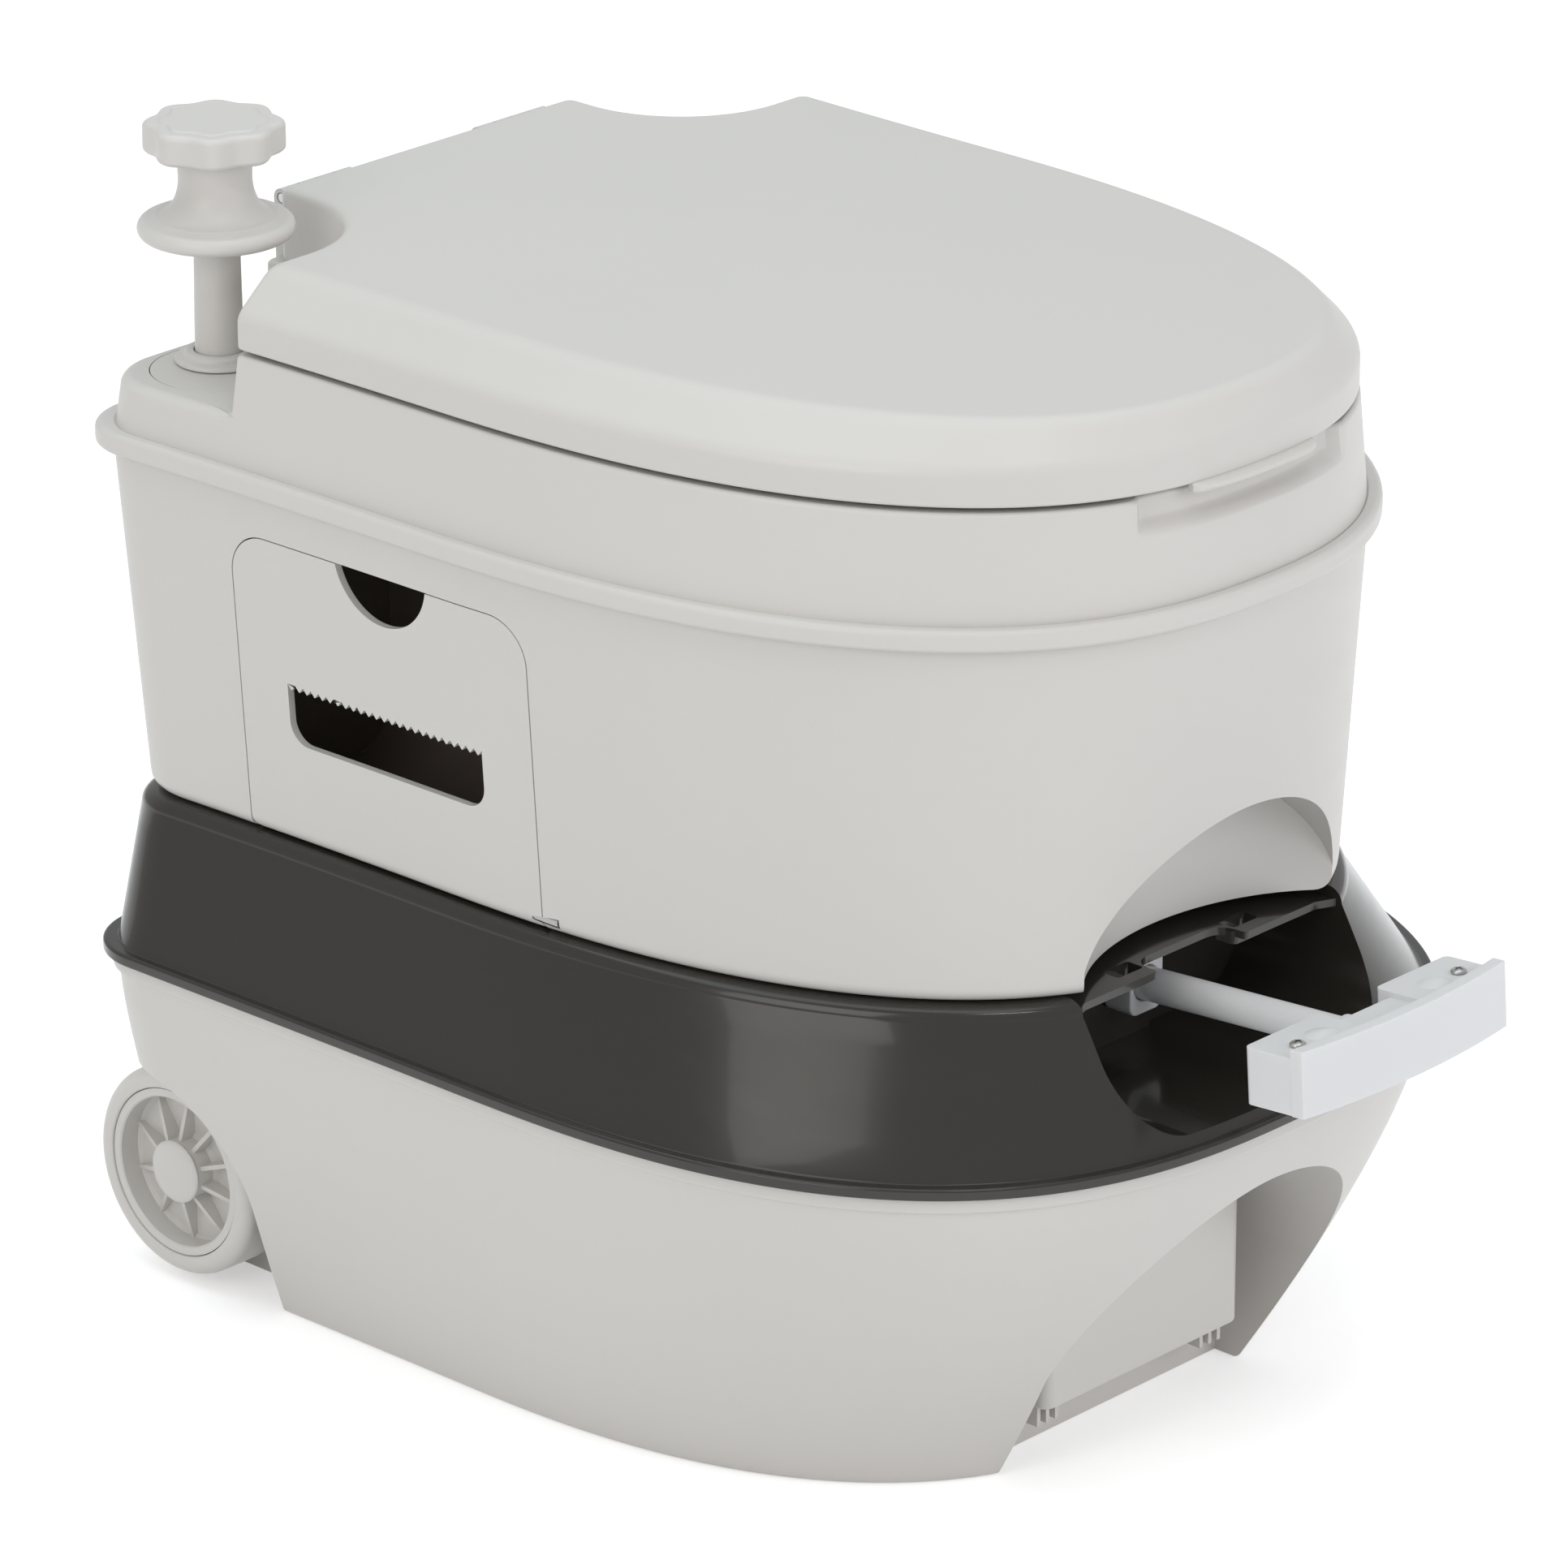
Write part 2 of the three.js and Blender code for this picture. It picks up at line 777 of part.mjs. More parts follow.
function paperDoor() {
  const skin = tankOuter(0).subtract(tankOuter(doorWall));
  const blank = prismX(doorShape(0, tankFoot + doorFootRise), -cutReach, -bodyHalf / 2);
  const notch = new THREE.Shape();
  const notchZ = tankFoot + doorHeight + doorNotchDrop;
  notch.absarc(doorCentreY - doorNotchOffset, notchZ, doorNotchRadius, 0, 2 * Math.PI);
  const eyeRadius = pinBore + doorEyeWall;
  const eyes = doorPinEnds.map(([low, high]) => (
    cylinderY(eyeRadius, low + doorGap, high - doorGap, doorPinX, doorPinZ).intersect(tankOuter(0))
  ));
  const bore = cylinderY(pinBore, doorLowY - cutOverrun, doorHighY + cutOverrun, doorPinX, doorPinZ);
  return joined([skin.intersect(blank), ...eyes])
    .subtract(prismX(notch, -cutReach, 0, archFacets))
    .subtract(tearSlot())
    .subtract(bore);
}

part(upperHalf, 'paper_door', paperDoor(), palePlastic);
part(upperHalf, 'door_pin_front', cylinderY(
  doorPinRadius, doorLowY - doorBossLength + doorGap, doorPinEnds[0][1], doorPinX, doorPinZ,
), steel);
part(upperHalf, 'door_pin_rear', cylinderY(
  doorPinRadius, doorPinEnds[1][0], doorHighY + doorBossLength - doorGap, doorPinX, doorPinZ,
), steel);

// Cross-section of the compartment: a shelf-backed cradle that a paper roll lies in.
function linerSection(wall) {
  const low = tankFloor + tankWall + linerLift + wall;
  const high = tankFoot + doorHeight + linerOverlap - wall;
  const front = -tankHeadPlan.half - cutOverrun;
  const back = doorInnerX + linerDepth - wall;
  const section = new THREE.Shape();
  section.moveTo(front, low);
  section.lineTo(back - linerCradle, low);
  section.quadraticCurveTo(back, low, back, low + linerCradle);
  section.lineTo(back, low + linerCradle + linerBack);
  section.quadraticCurveTo(back, high, back - linerShelf, high);
  section.lineTo(front, high);
  return section;
}

function paperLiner() {
  const low = doorLowY - linerOverlap;
  const high = doorHighY + linerOverlap;
  return prismY(linerSection(0), low, high)
    .intersect(tankHollow(seatGap))
    .subtract(prismY(linerSection(linerWall), low + linerWall, high - linerWall));
}

part(upperHalf, 'paper_liner', paperLiner(), shadowPlastic);

// Upper deck: belt, low pads round the pump and filler, raised platform under the seat

const hingeY = bodyRear - hingeRearInset;
const hingeZ = lidTop - hingeDrop;
const hingeSpan = bodyHalf - hingeSideInset;
const seatArmX = hingeSpan + barrelWidth + seatGap;
const lidKnuckleX = seatArmX + barrelWidth + seatGap;
const outerEarX = lidKnuckleX + barrelWidth + seatGap;
const padWall = coverThickness + seatGap + deckWall;
const padFloor = padHeight - padWall;

function deckBody(margin, top) {
  const foot = outline(shrink(deckFootPlan, margin));
  const head = outline(shrink(deckHeadPlan, margin));
  return [[foot, tankHead + seatGap], [head, top]];
}

function fingerRecess(margin) {
  const slot = roundedRect(
    -(fingerHalf + margin), fingerHalf + margin,
    platformHeight - fingerDepth - margin, platformHeight + cutOverrun, fingerCorner + margin, slideGap,
  );
  const core = loft(deckBody(fingerSetback + margin, platformHeight + beltHeight));
  return prismY(slot, -cutReach, 0).subtract(core);
}

function hingeEar(x0, x1) {
  const ear = new THREE.Shape();
  ear.moveTo(hingeY - stemHalfDepth, platformHeight - deckWall);
  ear.lineTo(hingeY + stemHalfDepth, platformHeight - deckWall);
  ear.lineTo(hingeY + barrelRadius, hingeZ);
  ear.absarc(hingeY, hingeZ, barrelRadius, 0, Math.PI);
  return prismX(ear, x0, x1, cornerFacets * 2);
}

const bowlHalf = bodyHalf - bowlSideInset;
const bowlOuterHalf = bowlHalf + bowlWall;
const bowlOuterLength = bowlHalfLength + bowlWall;

function upperDeck() {
  const belt = outline(beltPlan);
  const band = loft([
    [inset(belt, beltChamfer), beltBottom],
    [belt, beltBottom + beltChamfer],
    [belt, beltTop - beltChamfer],
    [inset(belt, beltChamfer), beltTop],
  ]);
  const socket = outline(shrink(tankHeadPlan, -seatGap));
  const padTop = outline(mix(deckFootPlan, deckHeadPlan, padRise / (padRise + platformRise)));
  const pad = loft([
    [outline(deckFootPlan), tankHead + seatGap],
    [padTop, padHeight - padRounding],
    [inset(padTop, padRounding * bevelShare), padHeight - padRounding * bevelShare],
    [inset(padTop, padRounding), padHeight],
  ]);
  const head = outline(deckHeadPlan);
  const platform = loft([
    ...deckBody(0, platformHeight - platformRounding),
    [inset(head, platformRounding), platformHeight],
  ]).subtract(bothCorners(notchRadius, tankFoot, lidTop));
  const hollow = loft([
    [outline(shrink(deckFootPlan, deckWall)), beltBottom - cutOverrun],
    [outline(shrink(deckFootPlan, deckWall)), tankHead],
    ...deckBody(deckWall, platformHeight - deckWall),
  ]).subtract(bothCorners(notchRadius + deckWall, padFloor, lidTop)).subtract(fingerRecess(deckWall));
  const bowlHole = ellipse(bowlOuterHalf + seatGap, bowlOuterLength + seatGap, bowlCentreY);
  const coverSeat = padHeight - coverThickness - seatGap;
  const coverHole = coverPlate(coverRadius, coverEdge - seatGap, coverSeat, padHeight + cutOverrun);
  const fillerHole = disc(fillerRadius + seatGap, padFloor - cutOverrun, padHeight + cutOverrun);
  const ears = joined([
    hingeEar(hingeSpan, hingeSpan + barrelWidth),
    hingeEar(outerEarX, outerEarX + barrelWidth),
  ]);
  return joined([band, pad, platform, bothSides(ears)])
    .subtract(loft([[socket, beltBottom - cutOverrun], [socket, tankHead + seatGap]]))
    .subtract(hollow)
    .subtract(fingerRecess(0))
    .subtract(loft([[bowlHole, padHeight], [bowlHole, lidTop]]))
    .subtract(coverHole)
    .subtract(moved(disc(rodWayRadius, padFloor - cutOverrun, padHeight), -pumpX, pumpY, 0))
    .subtract(moved(fillerHole, pumpX, fillerY, 0))
    .subtract(cylinderX(hingePinRadius + seatGap, -cutReach, cutReach, hingeY, hingeZ));
}

// A round plate on the pump pad, cut straight where it nears the rear edge.
function coverPlate(radius, edge, low, high) {
  const bound = outline(shrink(deckHeadPlan, edge));
  const within = loft([[bound, low - cutOverrun], [bound, high + cutOverrun]]);
  return moved(disc(radius, low, high), -pumpX, pumpY, 0).intersect(within);
}

part(upperHalf, 'upper_deck', upperDeck(), palePlastic);

// Bowl, its outlet and the flush line

const nozzleZ = platformHeight - nozzleDrop;
const bowlRearY = bowlCentreY + bowlHalfLength;
const bowlTop = platformHeight + seatGap + bowlFlangeThickness;
const bowlFoot = tankFloor + tankWall + bowlSealHeight + slideGap;
const spigotFoot = tankFoot + plateauStep + sealHeight;

// The bowl widens from the outlet to its rim by a power curve.
function bowlRings(margin, foot, top) {
  const rings = [];
  for (let i = 0; i <= bowlSteps; i += 1) {
    const level = (i / bowlSteps) ** bowlSpacingShare;
    const width = level ** bowlFlareShare;
    const centre = outletY + (bowlCentreY - outletY) * width;
    const half = outletRadius + (bowlHalf - outletRadius) * width + margin;
    const length = outletRadius + (bowlHalfLength - outletRadius) * width + margin;
    rings.push([ellipse(half, length, centre), foot + (platformHeight - foot) * level]);
  }
  const [rim] = rings[rings.length - 1];
  rings.push([rim, top]);
  return rings;
}

function bowl() {
  const flange = ellipse(bowlHalf + bowlFlange, bowlHalfLength + bowlFlange, bowlCentreY);
  const outer = loft(bowlRings(bowlWall, bowlFoot, bowlTop));
  const floorZ = bowlFoot + bowlWall;
  const nozzleHole = cylinderY(nozzleRadius + seatGap, bowlCentreY, cutReach, 0, nozzleZ);
  return joined([
    outer,
    loft([[flange, platformHeight + seatGap], [flange, bowlTop]]),
    moved(disc(outletOuter, spigotFoot + seatGap, floorZ), 0, outletY, 0),
  ])
    .subtract(loft(bowlRings(0, floorZ, bowlTop + cutOverrun)))
    .subtract(moved(disc(outletRadius, spigotFoot - cutOverrun, floorZ + slideGap), 0, outletY, 0))
    .subtract(nozzleHole);
}

part(upperHalf, 'bowl', bowl(), whitePlastic);
part(upperHalf, 'bowl_seal', moved(
  ring(
    outletOuter + seatGap * 2 + sealWidth, outletOuter + seatGap * 2,
    tankFloor + tankWall + seatGap, tankFloor + tankWall + bowlSealHeight, roundFacets,
  ),
  0, outletY, 0,
), rubber);

function flushNozzle() {
  const low = bowlRearY - nozzleReach;
  const high = bowlRearY + nozzleReach;
  const bore = cylinderY(nozzleRadius - nozzleWall, low - cutOverrun, high + cutOverrun, 0, nozzleZ);
  const mouth = box(
    -nozzleRadius * 2, nozzleRadius * 2, low - cutOverrun, bowlRearY - nozzleReach / 2,
    nozzleZ, nozzleZ + nozzleRadius * 2,
  );
  return cylinderY(nozzleRadius, low, high, 0, nozzleZ).subtract(bore).subtract(mouth);
}

part(upperHalf, 'flush_nozzle', flushNozzle(), whitePlastic);

function circlePath(radius) {
  const circle = new THREE.Path();
  circle.absarc(0, 0, radius, 0, 2 * Math.PI);
  return circle;
}

function tube(curve, outer, inner, facets, steps) {
  const section = new THREE.Shape(circlePath(outer).getPoints(facets));
  section.holes.push(new THREE.Path(circlePath(inner).getPoints(facets)));
  const geometry = new THREE.ExtrudeGeometry(section, { steps, bevelEnabled: false, extrudePath: curve });
  return solidOf(geometry);
}

const portZ = padFloor - pumpTubeLength + pumpPortRise;

function flushTube() {
  const start = new THREE.Vector3(-pumpX + pumpTubeRadius + seatGap, pumpY, portZ);
  const end = new THREE.Vector3(0, bowlRearY + nozzleReach + seatGap, nozzleZ);
  const curve = new THREE.CubicBezierCurve3(
    start,
    new THREE.Vector3(start.x + flushSweep, start.y, start.z),
    new THREE.Vector3(end.x, end.y + flushSweep, end.z),
    end,
  );
  return tube(curve, flushTubeRadius, flushTubeRadius - nozzleWall, flushTubeFacets, flushSteps);
}

part(upperHalf, 'flush_tube', flushTube(), whitePlastic);

// Hand pump: cylinder below the pad, then the parts that slide together on the rod

const pump = new THREE.Group();
pump.position.set(-pumpX, pumpY, padHeight);
upperHalf.add(pump);

const pistonTop = -rodBelow - seatGap;

function pumpCylinder() {
  const top = -padWall - seatGap;
  const foot = top - pumpTubeLength;
  const port = cylinderX(flushTubeRadius - nozzleWall, 0, pumpTubeRadius * 2, 0, portZ - padHeight);
  return turned([
    [pumpInletRadius, foot],
    [pumpTubeRadius, foot],
    [pumpTubeRadius, top - pumpTubeWall],
    [pumpTubeRadius + pumpFlange, top - pumpTubeWall],
    [pumpTubeRadius + pumpFlange, top],
    [pumpTubeRadius - pumpTubeWall, top],
    [pumpTubeRadius - pumpTubeWall, foot + pumpTubeWall],
    [pumpInletRadius, foot + pumpTubeWall],
    [pumpInletRadius, foot],
  ], innerFacets).subtract(port);
}

part(pump, 'pump_cylinder', pumpCylinder(), palePlastic);

part(upperHalf, 'pump_cover_plate', coverPlate(
  coverRadius - seatGap, coverEdge, padHeight - coverThickness, padHeight,
).subtract(moved(disc(rodWayRadius, padFloor, lidTop), -pumpX, pumpY, 0)), palePlastic);

part(pump, 'pump_collar', turned([
  [rodRadius + slideGap, seatGap],
  [collarRadius, seatGap],
  [collarRadius, seatGap + collarFootHeight],
  [collarRadius - collarBevel, seatGap + collarShoulder],
  [collarRadius - collarStep, seatGap + collarShoulder],
  [collarRadius - collarStep, seatGap + collarHead],
  [collarRadius - collarStep - collarBevel, seatGap + collarHeight],
  [rodRadius + slideGap, seatGap + collarHeight],
  [rodRadius + slideGap, seatGap],
]), palePlastic);

part(pump, 'pump_rod', disc(rodRadius, -rodBelow, discRise - seatGap), palePlastic);

part(pump, 'pump_piston', turned([
  [0, pistonTop - pistonHeight],
  [pistonRadius, pistonTop - pistonHeight],
  [pistonRadius, pistonTop - pistonHeight + pistonLand],
  [pistonRadius - pistonGroove, pistonTop - pistonHeight + pistonLand],
  [pistonRadius - pistonGroove, pistonTop - pistonLand],
  [pistonRadius, pistonTop - pistonLand],
  [pistonRadius, pistonTop],
  [0, pistonTop],
], innerFacets), palePlastic);

part(pump, 'piston_seal', ring(
  pumpTubeRadius - pumpTubeWall - seatGap, pistonRadius - pistonGroove + seatGap,
  pistonTop - pistonHeight + pistonLand + seatGap, pistonTop - pistonLand - seatGap, innerFacets,
), rubber);

// Spool: a broad rim below, a concave neck and a flat seat for the cap.
function pumpSpool() {
  const foot = discRise;
  const seat = foot + knobHeight - capHeight - seatGap;
  const profile = [
    [0, foot],
    [discRadius - discTaper, foot],
    [discRadius, foot + discEdge / 2],
    [discRadius - discTaper, foot + discEdge],
  ];
  const neckFoot = foot + discEdge + discTaper;
  for (let i = 1; i <= neckSteps; i += 1) {
    const t = (Math.PI / 2) * (i / neckSteps);
    const radius = neckRadius + (discRadius - discTaper - neckRadius) * (1 - Math.sin(t));
    const height = neckFoot + (seat - neckFoot) * neckCurveShare * (1 - Math.cos(t));
    profile.push([radius, height]);
  }
  profile.push([neckRadius + neckFlare, seat], [0, seat]);
  return turned(profile);
}

part(pump, 'pump_spool', pumpSpool(), palePlastic);

// Cap: lobes round its edge, rounded above and below, with a raised panel of the same form.
function knobCap() {
  const foot = discRise + knobHeight - capHeight;
  const lobes = (radius) => {
    const points = [];
    for (let i = 0; i < capFacets; i += 1) {
      const t = 2 * Math.PI * (i / capFacets);
      const reach = radius + capLobe * Math.cos(lobeCount * t);
      points.push(new THREE.Vector2(reach * Math.cos(t), reach * Math.sin(t)));
    }
    return points;
  };
  return loft([
    [lobes(capRadius - capRounding * 2), foot],
    [lobes(capRadius - capRounding * bevelShare), foot + capRounding],
    [lobes(capRadius), foot + capRounding * 2],
    [lobes(capRadius), foot + capHeight - capRounding],
    [lobes(capRadius - capRounding), foot + capHeight],
  ]);
}

part(pump, 'pump_knob_cap', knobCap(), palePlastic);

// Filler in the other rear corner

const filler = new THREE.Group();
filler.position.set(pumpX, fillerY, padHeight);
upperHalf.add(filler);

part(filler, 'fill_neck', turned([
  [fillerRadius - fillerWall, -fillerDepth],
  [fillerRadius, -fillerDepth],
  [fillerRadius, seatGap],
  [fillerRadius + fillerFlange, seatGap],
  [fillerRadius + fillerFlange, seatGap + fillerFlangeHeight],
  [fillerRadius, seatGap + fillerFlangeHeight],
  [fillerRadius, fillerNeckHeight],
  [fillerRadius - fillerWall, fillerNeckHeight],
  [fillerRadius - fillerWall, -fillerDepth],
], innerFacets), palePlastic);

const fillSealFoot = fillerNeckHeight + seatGap;
const fillSealTop = fillSealFoot + capSealHeight;
part(filler, 'fill_cap_seal', ring(
  fillerRadius, fillerRadius - fillerWall, fillSealFoot, fillSealTop, innerFacets,
), rubber);

// Screw cap with grip ribs, its open end down at the given height.
function screwCap(outer, inner, foot, ceiling, top, ribs) {
  const cup = turned([
    [0, ceiling],
    [inner, ceiling],
    [inner, foot],
    [outer, foot],
    [outer, top - capWall / 2],
    [outer - capWall / 2, top],
    [0, top],
  ]);
  const rib = (i) => {
    const turn = new THREE.Matrix4().makeRotationZ((2 * Math.PI * i) / ribs);
    const bar = new THREE.BoxGeometry(capRibDepth * 2, capRibWidth, top - foot - capWall);
    return solidOf(bar, turn.multiply(at(outer, 0, (top - capWall + foot) / 2)));
  };
  return joined([cup, ...Array.from({ length: ribs }, (_, i) => rib(i))]);
}

const fillCeiling = fillSealTop + seatGap;
part(filler, 'fill_cap', screwCap(
  fillerRadius + fillerFlange, fillerRadius + slideGap, seatGap + fillerFlangeHeight + seatGap,
  fillCeiling, fillCeiling + capWall, capRibs,
), palePlastic);

// Seat and lid on one axis at the rear

const seatFoot = platformHeight + seatLift;
const seatTop = seatFoot + seatThickness;
const seatHoleHalf = bodyHalf - seatHoleSideInset;
const seatPlan = shrink(lidSkirtPlan, lidWall + seatSideGap, lidWall + seatSideGap, seatRearInset);

function seatArm() {
  const arm = new THREE.Shape();
  const root = seatPlan.rear - seatArmRoot;
  arm.moveTo(root, seatFoot + seatRounding);
  arm.lineTo(seatPlan.rear, seatFoot + seatRounding);
  arm.lineTo(hingeY, hingeZ - barrelRadius);
  arm.absarc(hingeY, hingeZ, barrelRadius, -Math.PI / 2, Math.PI / 2);
  arm.lineTo(seatPlan.rear, hingeZ + barrelRadius);
  arm.lineTo(root, seatTop);
  return prismX(arm, seatArmX, seatArmX + barrelWidth, cornerFacets * 2);
}

function seatRing() {
  const edge = outline(seatPlan);
  const hole = (margin) => ellipse(seatHoleHalf + margin, seatHoleHalfLength + margin, bowlCentreY);
  return joined([
    loft([[edge, seatFoot], [edge, seatTop - seatRounding], [inset(edge, seatRounding), seatTop]])
      .subtract(bothCorners(notchRadius + lidWall + seatNotchGap, tankFoot, lidTop)),
    bothSides(seatArm()),
  ])
    .subtract(loft([
      [hole(seatRounding / 2), seatFoot - cutOverrun],
      [hole(seatRounding / 2), seatFoot],
      [hole(0), seatFoot + seatRounding],
      [hole(0), seatTop - seatRounding],
      [hole(seatRounding), seatTop],
      [hole(seatRounding), seatTop + cutOverrun],
    ]))
    .subtract(cylinderX(hingePinRadius + seatGap, -cutReach, cutReach, hingeY, hingeZ));
}

part(upperHalf, 'seat_ring', seatRing(), palePlastic);

function lidKnuckle() {
  const knuckle = new THREE.Shape();
  knuckle.moveTo(lidSkirtPlan.rear - lidWall / 2, hingeZ - barrelRadius);
  knuckle.lineTo(hingeY, hingeZ - barrelRadius);
  knuckle.absarc(hingeY, hingeZ, barrelRadius, -Math.PI / 2, Math.PI / 2);
  knuckle.lineTo(lidSkirtPlan.rear - lidWall / 2, hingeZ + barrelRadius);
  return prismX(knuckle, lidKnuckleX, lidKnuckleX + barrelWidth, cornerFacets * 2);
}

function lid() {
  const skirt = outline(lidSkirtPlan);
  const crown = outline(lidTopPlan);
  const shell = loft([
    [skirt, lidRim],
    [skirt, lidCrease],
    [crown, lidTop - lidRounding * bevelShare],
    [inset(crown, lidRounding), lidTop],
  ]).subtract(bothCorners(notchRadius, tankFoot, lidTop + cutOverrun));
  const inner = outline(shrink(lidSkirtPlan, lidWall));
  const ceiling = outline(shrink(lidTopPlan, lidWall));
  const hollow = loft([
    [inner, lidRim - cutOverrun],
    [inner, lidCrease - lidWall * bevelShare],
    [ceiling, lidTop - lidWall],
  ]).subtract(bothCorners(notchRadius + lidWall, tankFoot, lidTop + cutOverrun));
  const reach = outline(shrink(lidSkirtPlan, -lidLipReach));
  const lip = loft([[reach, lidRim - lidLipThickness], [reach, lidRim + slideGap]])
    .subtract(loft([[inner, lidRim - cutOverrun], [inner, lidRim + cutOverrun]]))
    .intersect(box(-lidLipHalf, lidLipHalf, -cutReach, 0, platformHeight - fingerDepth, lidCrease));
  const slot = box(
    seatArmX - slideGap, seatArmX + barrelWidth + seatGap / 2, lidSkirtPlan.rear - lidWall * 2, cutReach,
    lidRim - cutOverrun, lidTop - lidWall,
  );
  return shell
    .subtract(hollow)
    .add(lip)
    .subtract(bothSides(slot))
    .add(bothSides(lidKnuckle()))
    .subtract(cylinderX(hingePinRadius + seatGap, -cutReach, cutReach, hingeY, hingeZ));
}

part(upperHalf, 'lid', lid(), palePlastic);

const pinLow = hingeSpan + seatGap;
const pinHigh = outerEarX + barrelWidth - seatGap;
const bumperX = bodyHalf - bumperInset * 2;
['left', 'right'].forEach((side, i) => {
  const sign = i === 0 ? -1 : 1;
  const ends = [sign * pinLow, sign * pinHigh].sort((a, b) => a - b);
  part(upperHalf, `hinge_pin_${side}`, cylinderX(hingePinRadius, ends[0], ends[1], hingeY, hingeZ), steel);
  part(upperHalf, `seat_bumper_${side}`, moved(
    disc(bumperRadius, platformHeight + seatGap, seatFoot - seatGap, smallFacets), sign * bumperX, bumperY, 0,
  ), rubber);
  part(upperHalf, `lid_bumper_${side}`, moved(
    disc(bumperRadius, seatTop + seatGap, lidTop - lidWall - seatGap, smallFacets),
    sign * bumperX, bumperY, 0,
  ), rubber);
});

// Waste tank, top shell

const plateauTop = shoulderHeight + plateauStep;
const recessFloorZ = lipHeight + recessFloor;
const plateTop = shoulderHeight - plateDrop;
const valveZ = plateauTop - valveDrop;
const spoutZ = lipHeight + spoutRise;
const ventZ = spoutZ;
const spoutFaceY = bodyRear - spoutFaceInset;
const ventFaceY = spoutFaceY;
const stemAngle = THREE.MathUtils.degToRad(stemTilt);

const valve = new THREE.Group();
valve.position.set(0, outletY, valveZ);
valve.rotation.x = -stemAngle;
wasteTank.add(valve);
valve.updateMatrix();

function stemWay(margin) {
  const radius = stemRadius + margin;
  const geometry = new THREE.CylinderGeometry(radius, radius, cutReach, smallFacets);
  return solidOf(geometry, valve.matrix.clone().multiply(at(0, -cutReach / 2, 0)));
}

function recessSpace(margin) {
  const mouth = roundedRect(
    -(recessHalf + margin), recessHalf + margin, recessFloorZ - margin, plateauTop + cutReach,
    recessCorner + margin, recessHeadCorner,
  );
  return prismY(mouth, -cutReach, recessBackY + margin);
}

// Plate over the recess, with a round-cornered notch and two hook slots in its front.
function recessPlate() {
  const plate = new THREE.Shape();
  const side = recessHalf + wasteWall / 2;
  const notchY = plateFrontY + plateNotchDepth;
  plate.moveTo(-side, recessBackY + wasteWall / 2);
  plate.lineTo(-side, plateFrontY - plateSideReach);
  plate.lineTo(-plateHalf, plateFrontY);
  plate.lineTo(-plateNotchHalf, plateFrontY);
  plate.quadraticCurveTo(-plateNotchHalf, notchY, -plateNotchHalf + plateNotchCorner, notchY);
  plate.lineTo(plateNotchHalf - plateNotchCorner, notchY);
  plate.quadraticCurveTo(plateNotchHalf, notchY, plateNotchHalf, plateFrontY);
  plate.lineTo(plateHalf, plateFrontY);
  plate.lineTo(side, plateFrontY - plateSideReach);
  plate.lineTo(side, recessBackY + wasteWall / 2);
  const slotY = plateFrontY + hookSlotInset;
  [-1, 1].forEach((sign) => {
    const middle = sign * hookSlotX;
    const slot = roundedRect(
      middle - hookSlotWidth / 2, middle + hookSlotWidth / 2,
      slotY - hookSlotLength / 2, slotY + hookSlotLength / 2, hookSlotCorner,
    );
    plate.holes.push(new THREE.Path(slot.getPoints(cornerFacets)));
  });
  return prismZ(plate, plateTop - plateThickness, plateTop);
}

function wasteTankTop() {
  const lip = outline(lipPlan);
  const wallPlan = shrink(lipPlan, lipOverhang);
  const wall = outline(wallPlan);
  const shoulder = outline(shoulderPlan);
  const step = outline(shrink(tankFootPlan, plateauInset));
  const outer = joined([
    loft([
      [lip, lipHeight],
      [lip, lipHeight + lipBand - lipRounding],
      [inset(lip, lipRounding), lipHeight + lipBand],
      [wall, lipHeight + lipBand + seatGap],
      [shoulder, shoulderHeight - shoulderRounding],
      [inset(shoulder, shoulderRounding * bevelShare), shoulderHeight - shoulderRounding * bevelShare],
      [inset(shoulder, shoulderRounding), shoulderHeight],
    ]),
    loft([[step, shoulderHeight - shoulderRounding], [step, plateauTop]]),
  ]);
  const innerWall = outline(shrink(wallPlan, wasteWall));
  const innerShoulder = outline(shrink(shoulderPlan, wasteWall));
  const innerStep = outline(shrink(tankFootPlan, plateauInset + wasteWall));
  const hollow = joined([
    loft([
      [innerWall, lipHeight - cutOverrun],
      [innerWall, lipHeight + lipBand],
      [innerShoulder, shoulderHeight - shoulderRounding],
      [inset(innerShoulder, shoulderRounding), shoulderHeight - wasteWall],
    ]),
    loft([[innerStep, shoulderHeight - shoulderRounding], [innerStep, plateauTop - wasteWall]]),
  ]).subtract(recessSpace(wasteWall));
  const boss = new THREE.Shape();
  boss.moveTo(-bossFootHalf, recessFloorZ - wasteWall / 2);
  boss.lineTo(bossFootHalf, recessFloorZ - wasteWall / 2);
  boss.lineTo(bossHeadHalf, plateTop - plateThickness / 2);
  boss.lineTo(-bossHeadHalf, plateTop - plateThickness / 2);
  const wallY = wallPlan.rear;
  const outlet = disc(outletRadius, shoulderHeight - shoulderRounding, plateauTop + cutOverrun);
  return outer
    .subtract(hollow)
    .subtract(recessSpace(0))
    .add(recessPlate())
    .add(prismY(boss, recessBackY - bossProud, recessBackY + wasteWall / 2))
    .add(cylinderY(spoutFlange + seatGap, wallY - wasteWall, spoutFaceY, 0, spoutZ))
    .add(cylinderY(ventBossRadius, wallY - wasteWall, ventFaceY, ventX, ventZ))
    .subtract(moved(outlet, 0, outletY, 0))
    .subtract(stemWay(slideGap))
    .subtract(cylinderY(spoutBore + swivelGap, wallY - cutOverrun * 2, cutReach, 0, spoutZ))
    .subtract(cylinderY(ventShaftRadius + slideGap, wallY - cutOverrun * 2, cutReach, ventX, ventZ));
}

part(wasteTank, 'waste_tank_top', wasteTankTop(), darkPlastic);

// Waste tank, bottom shell

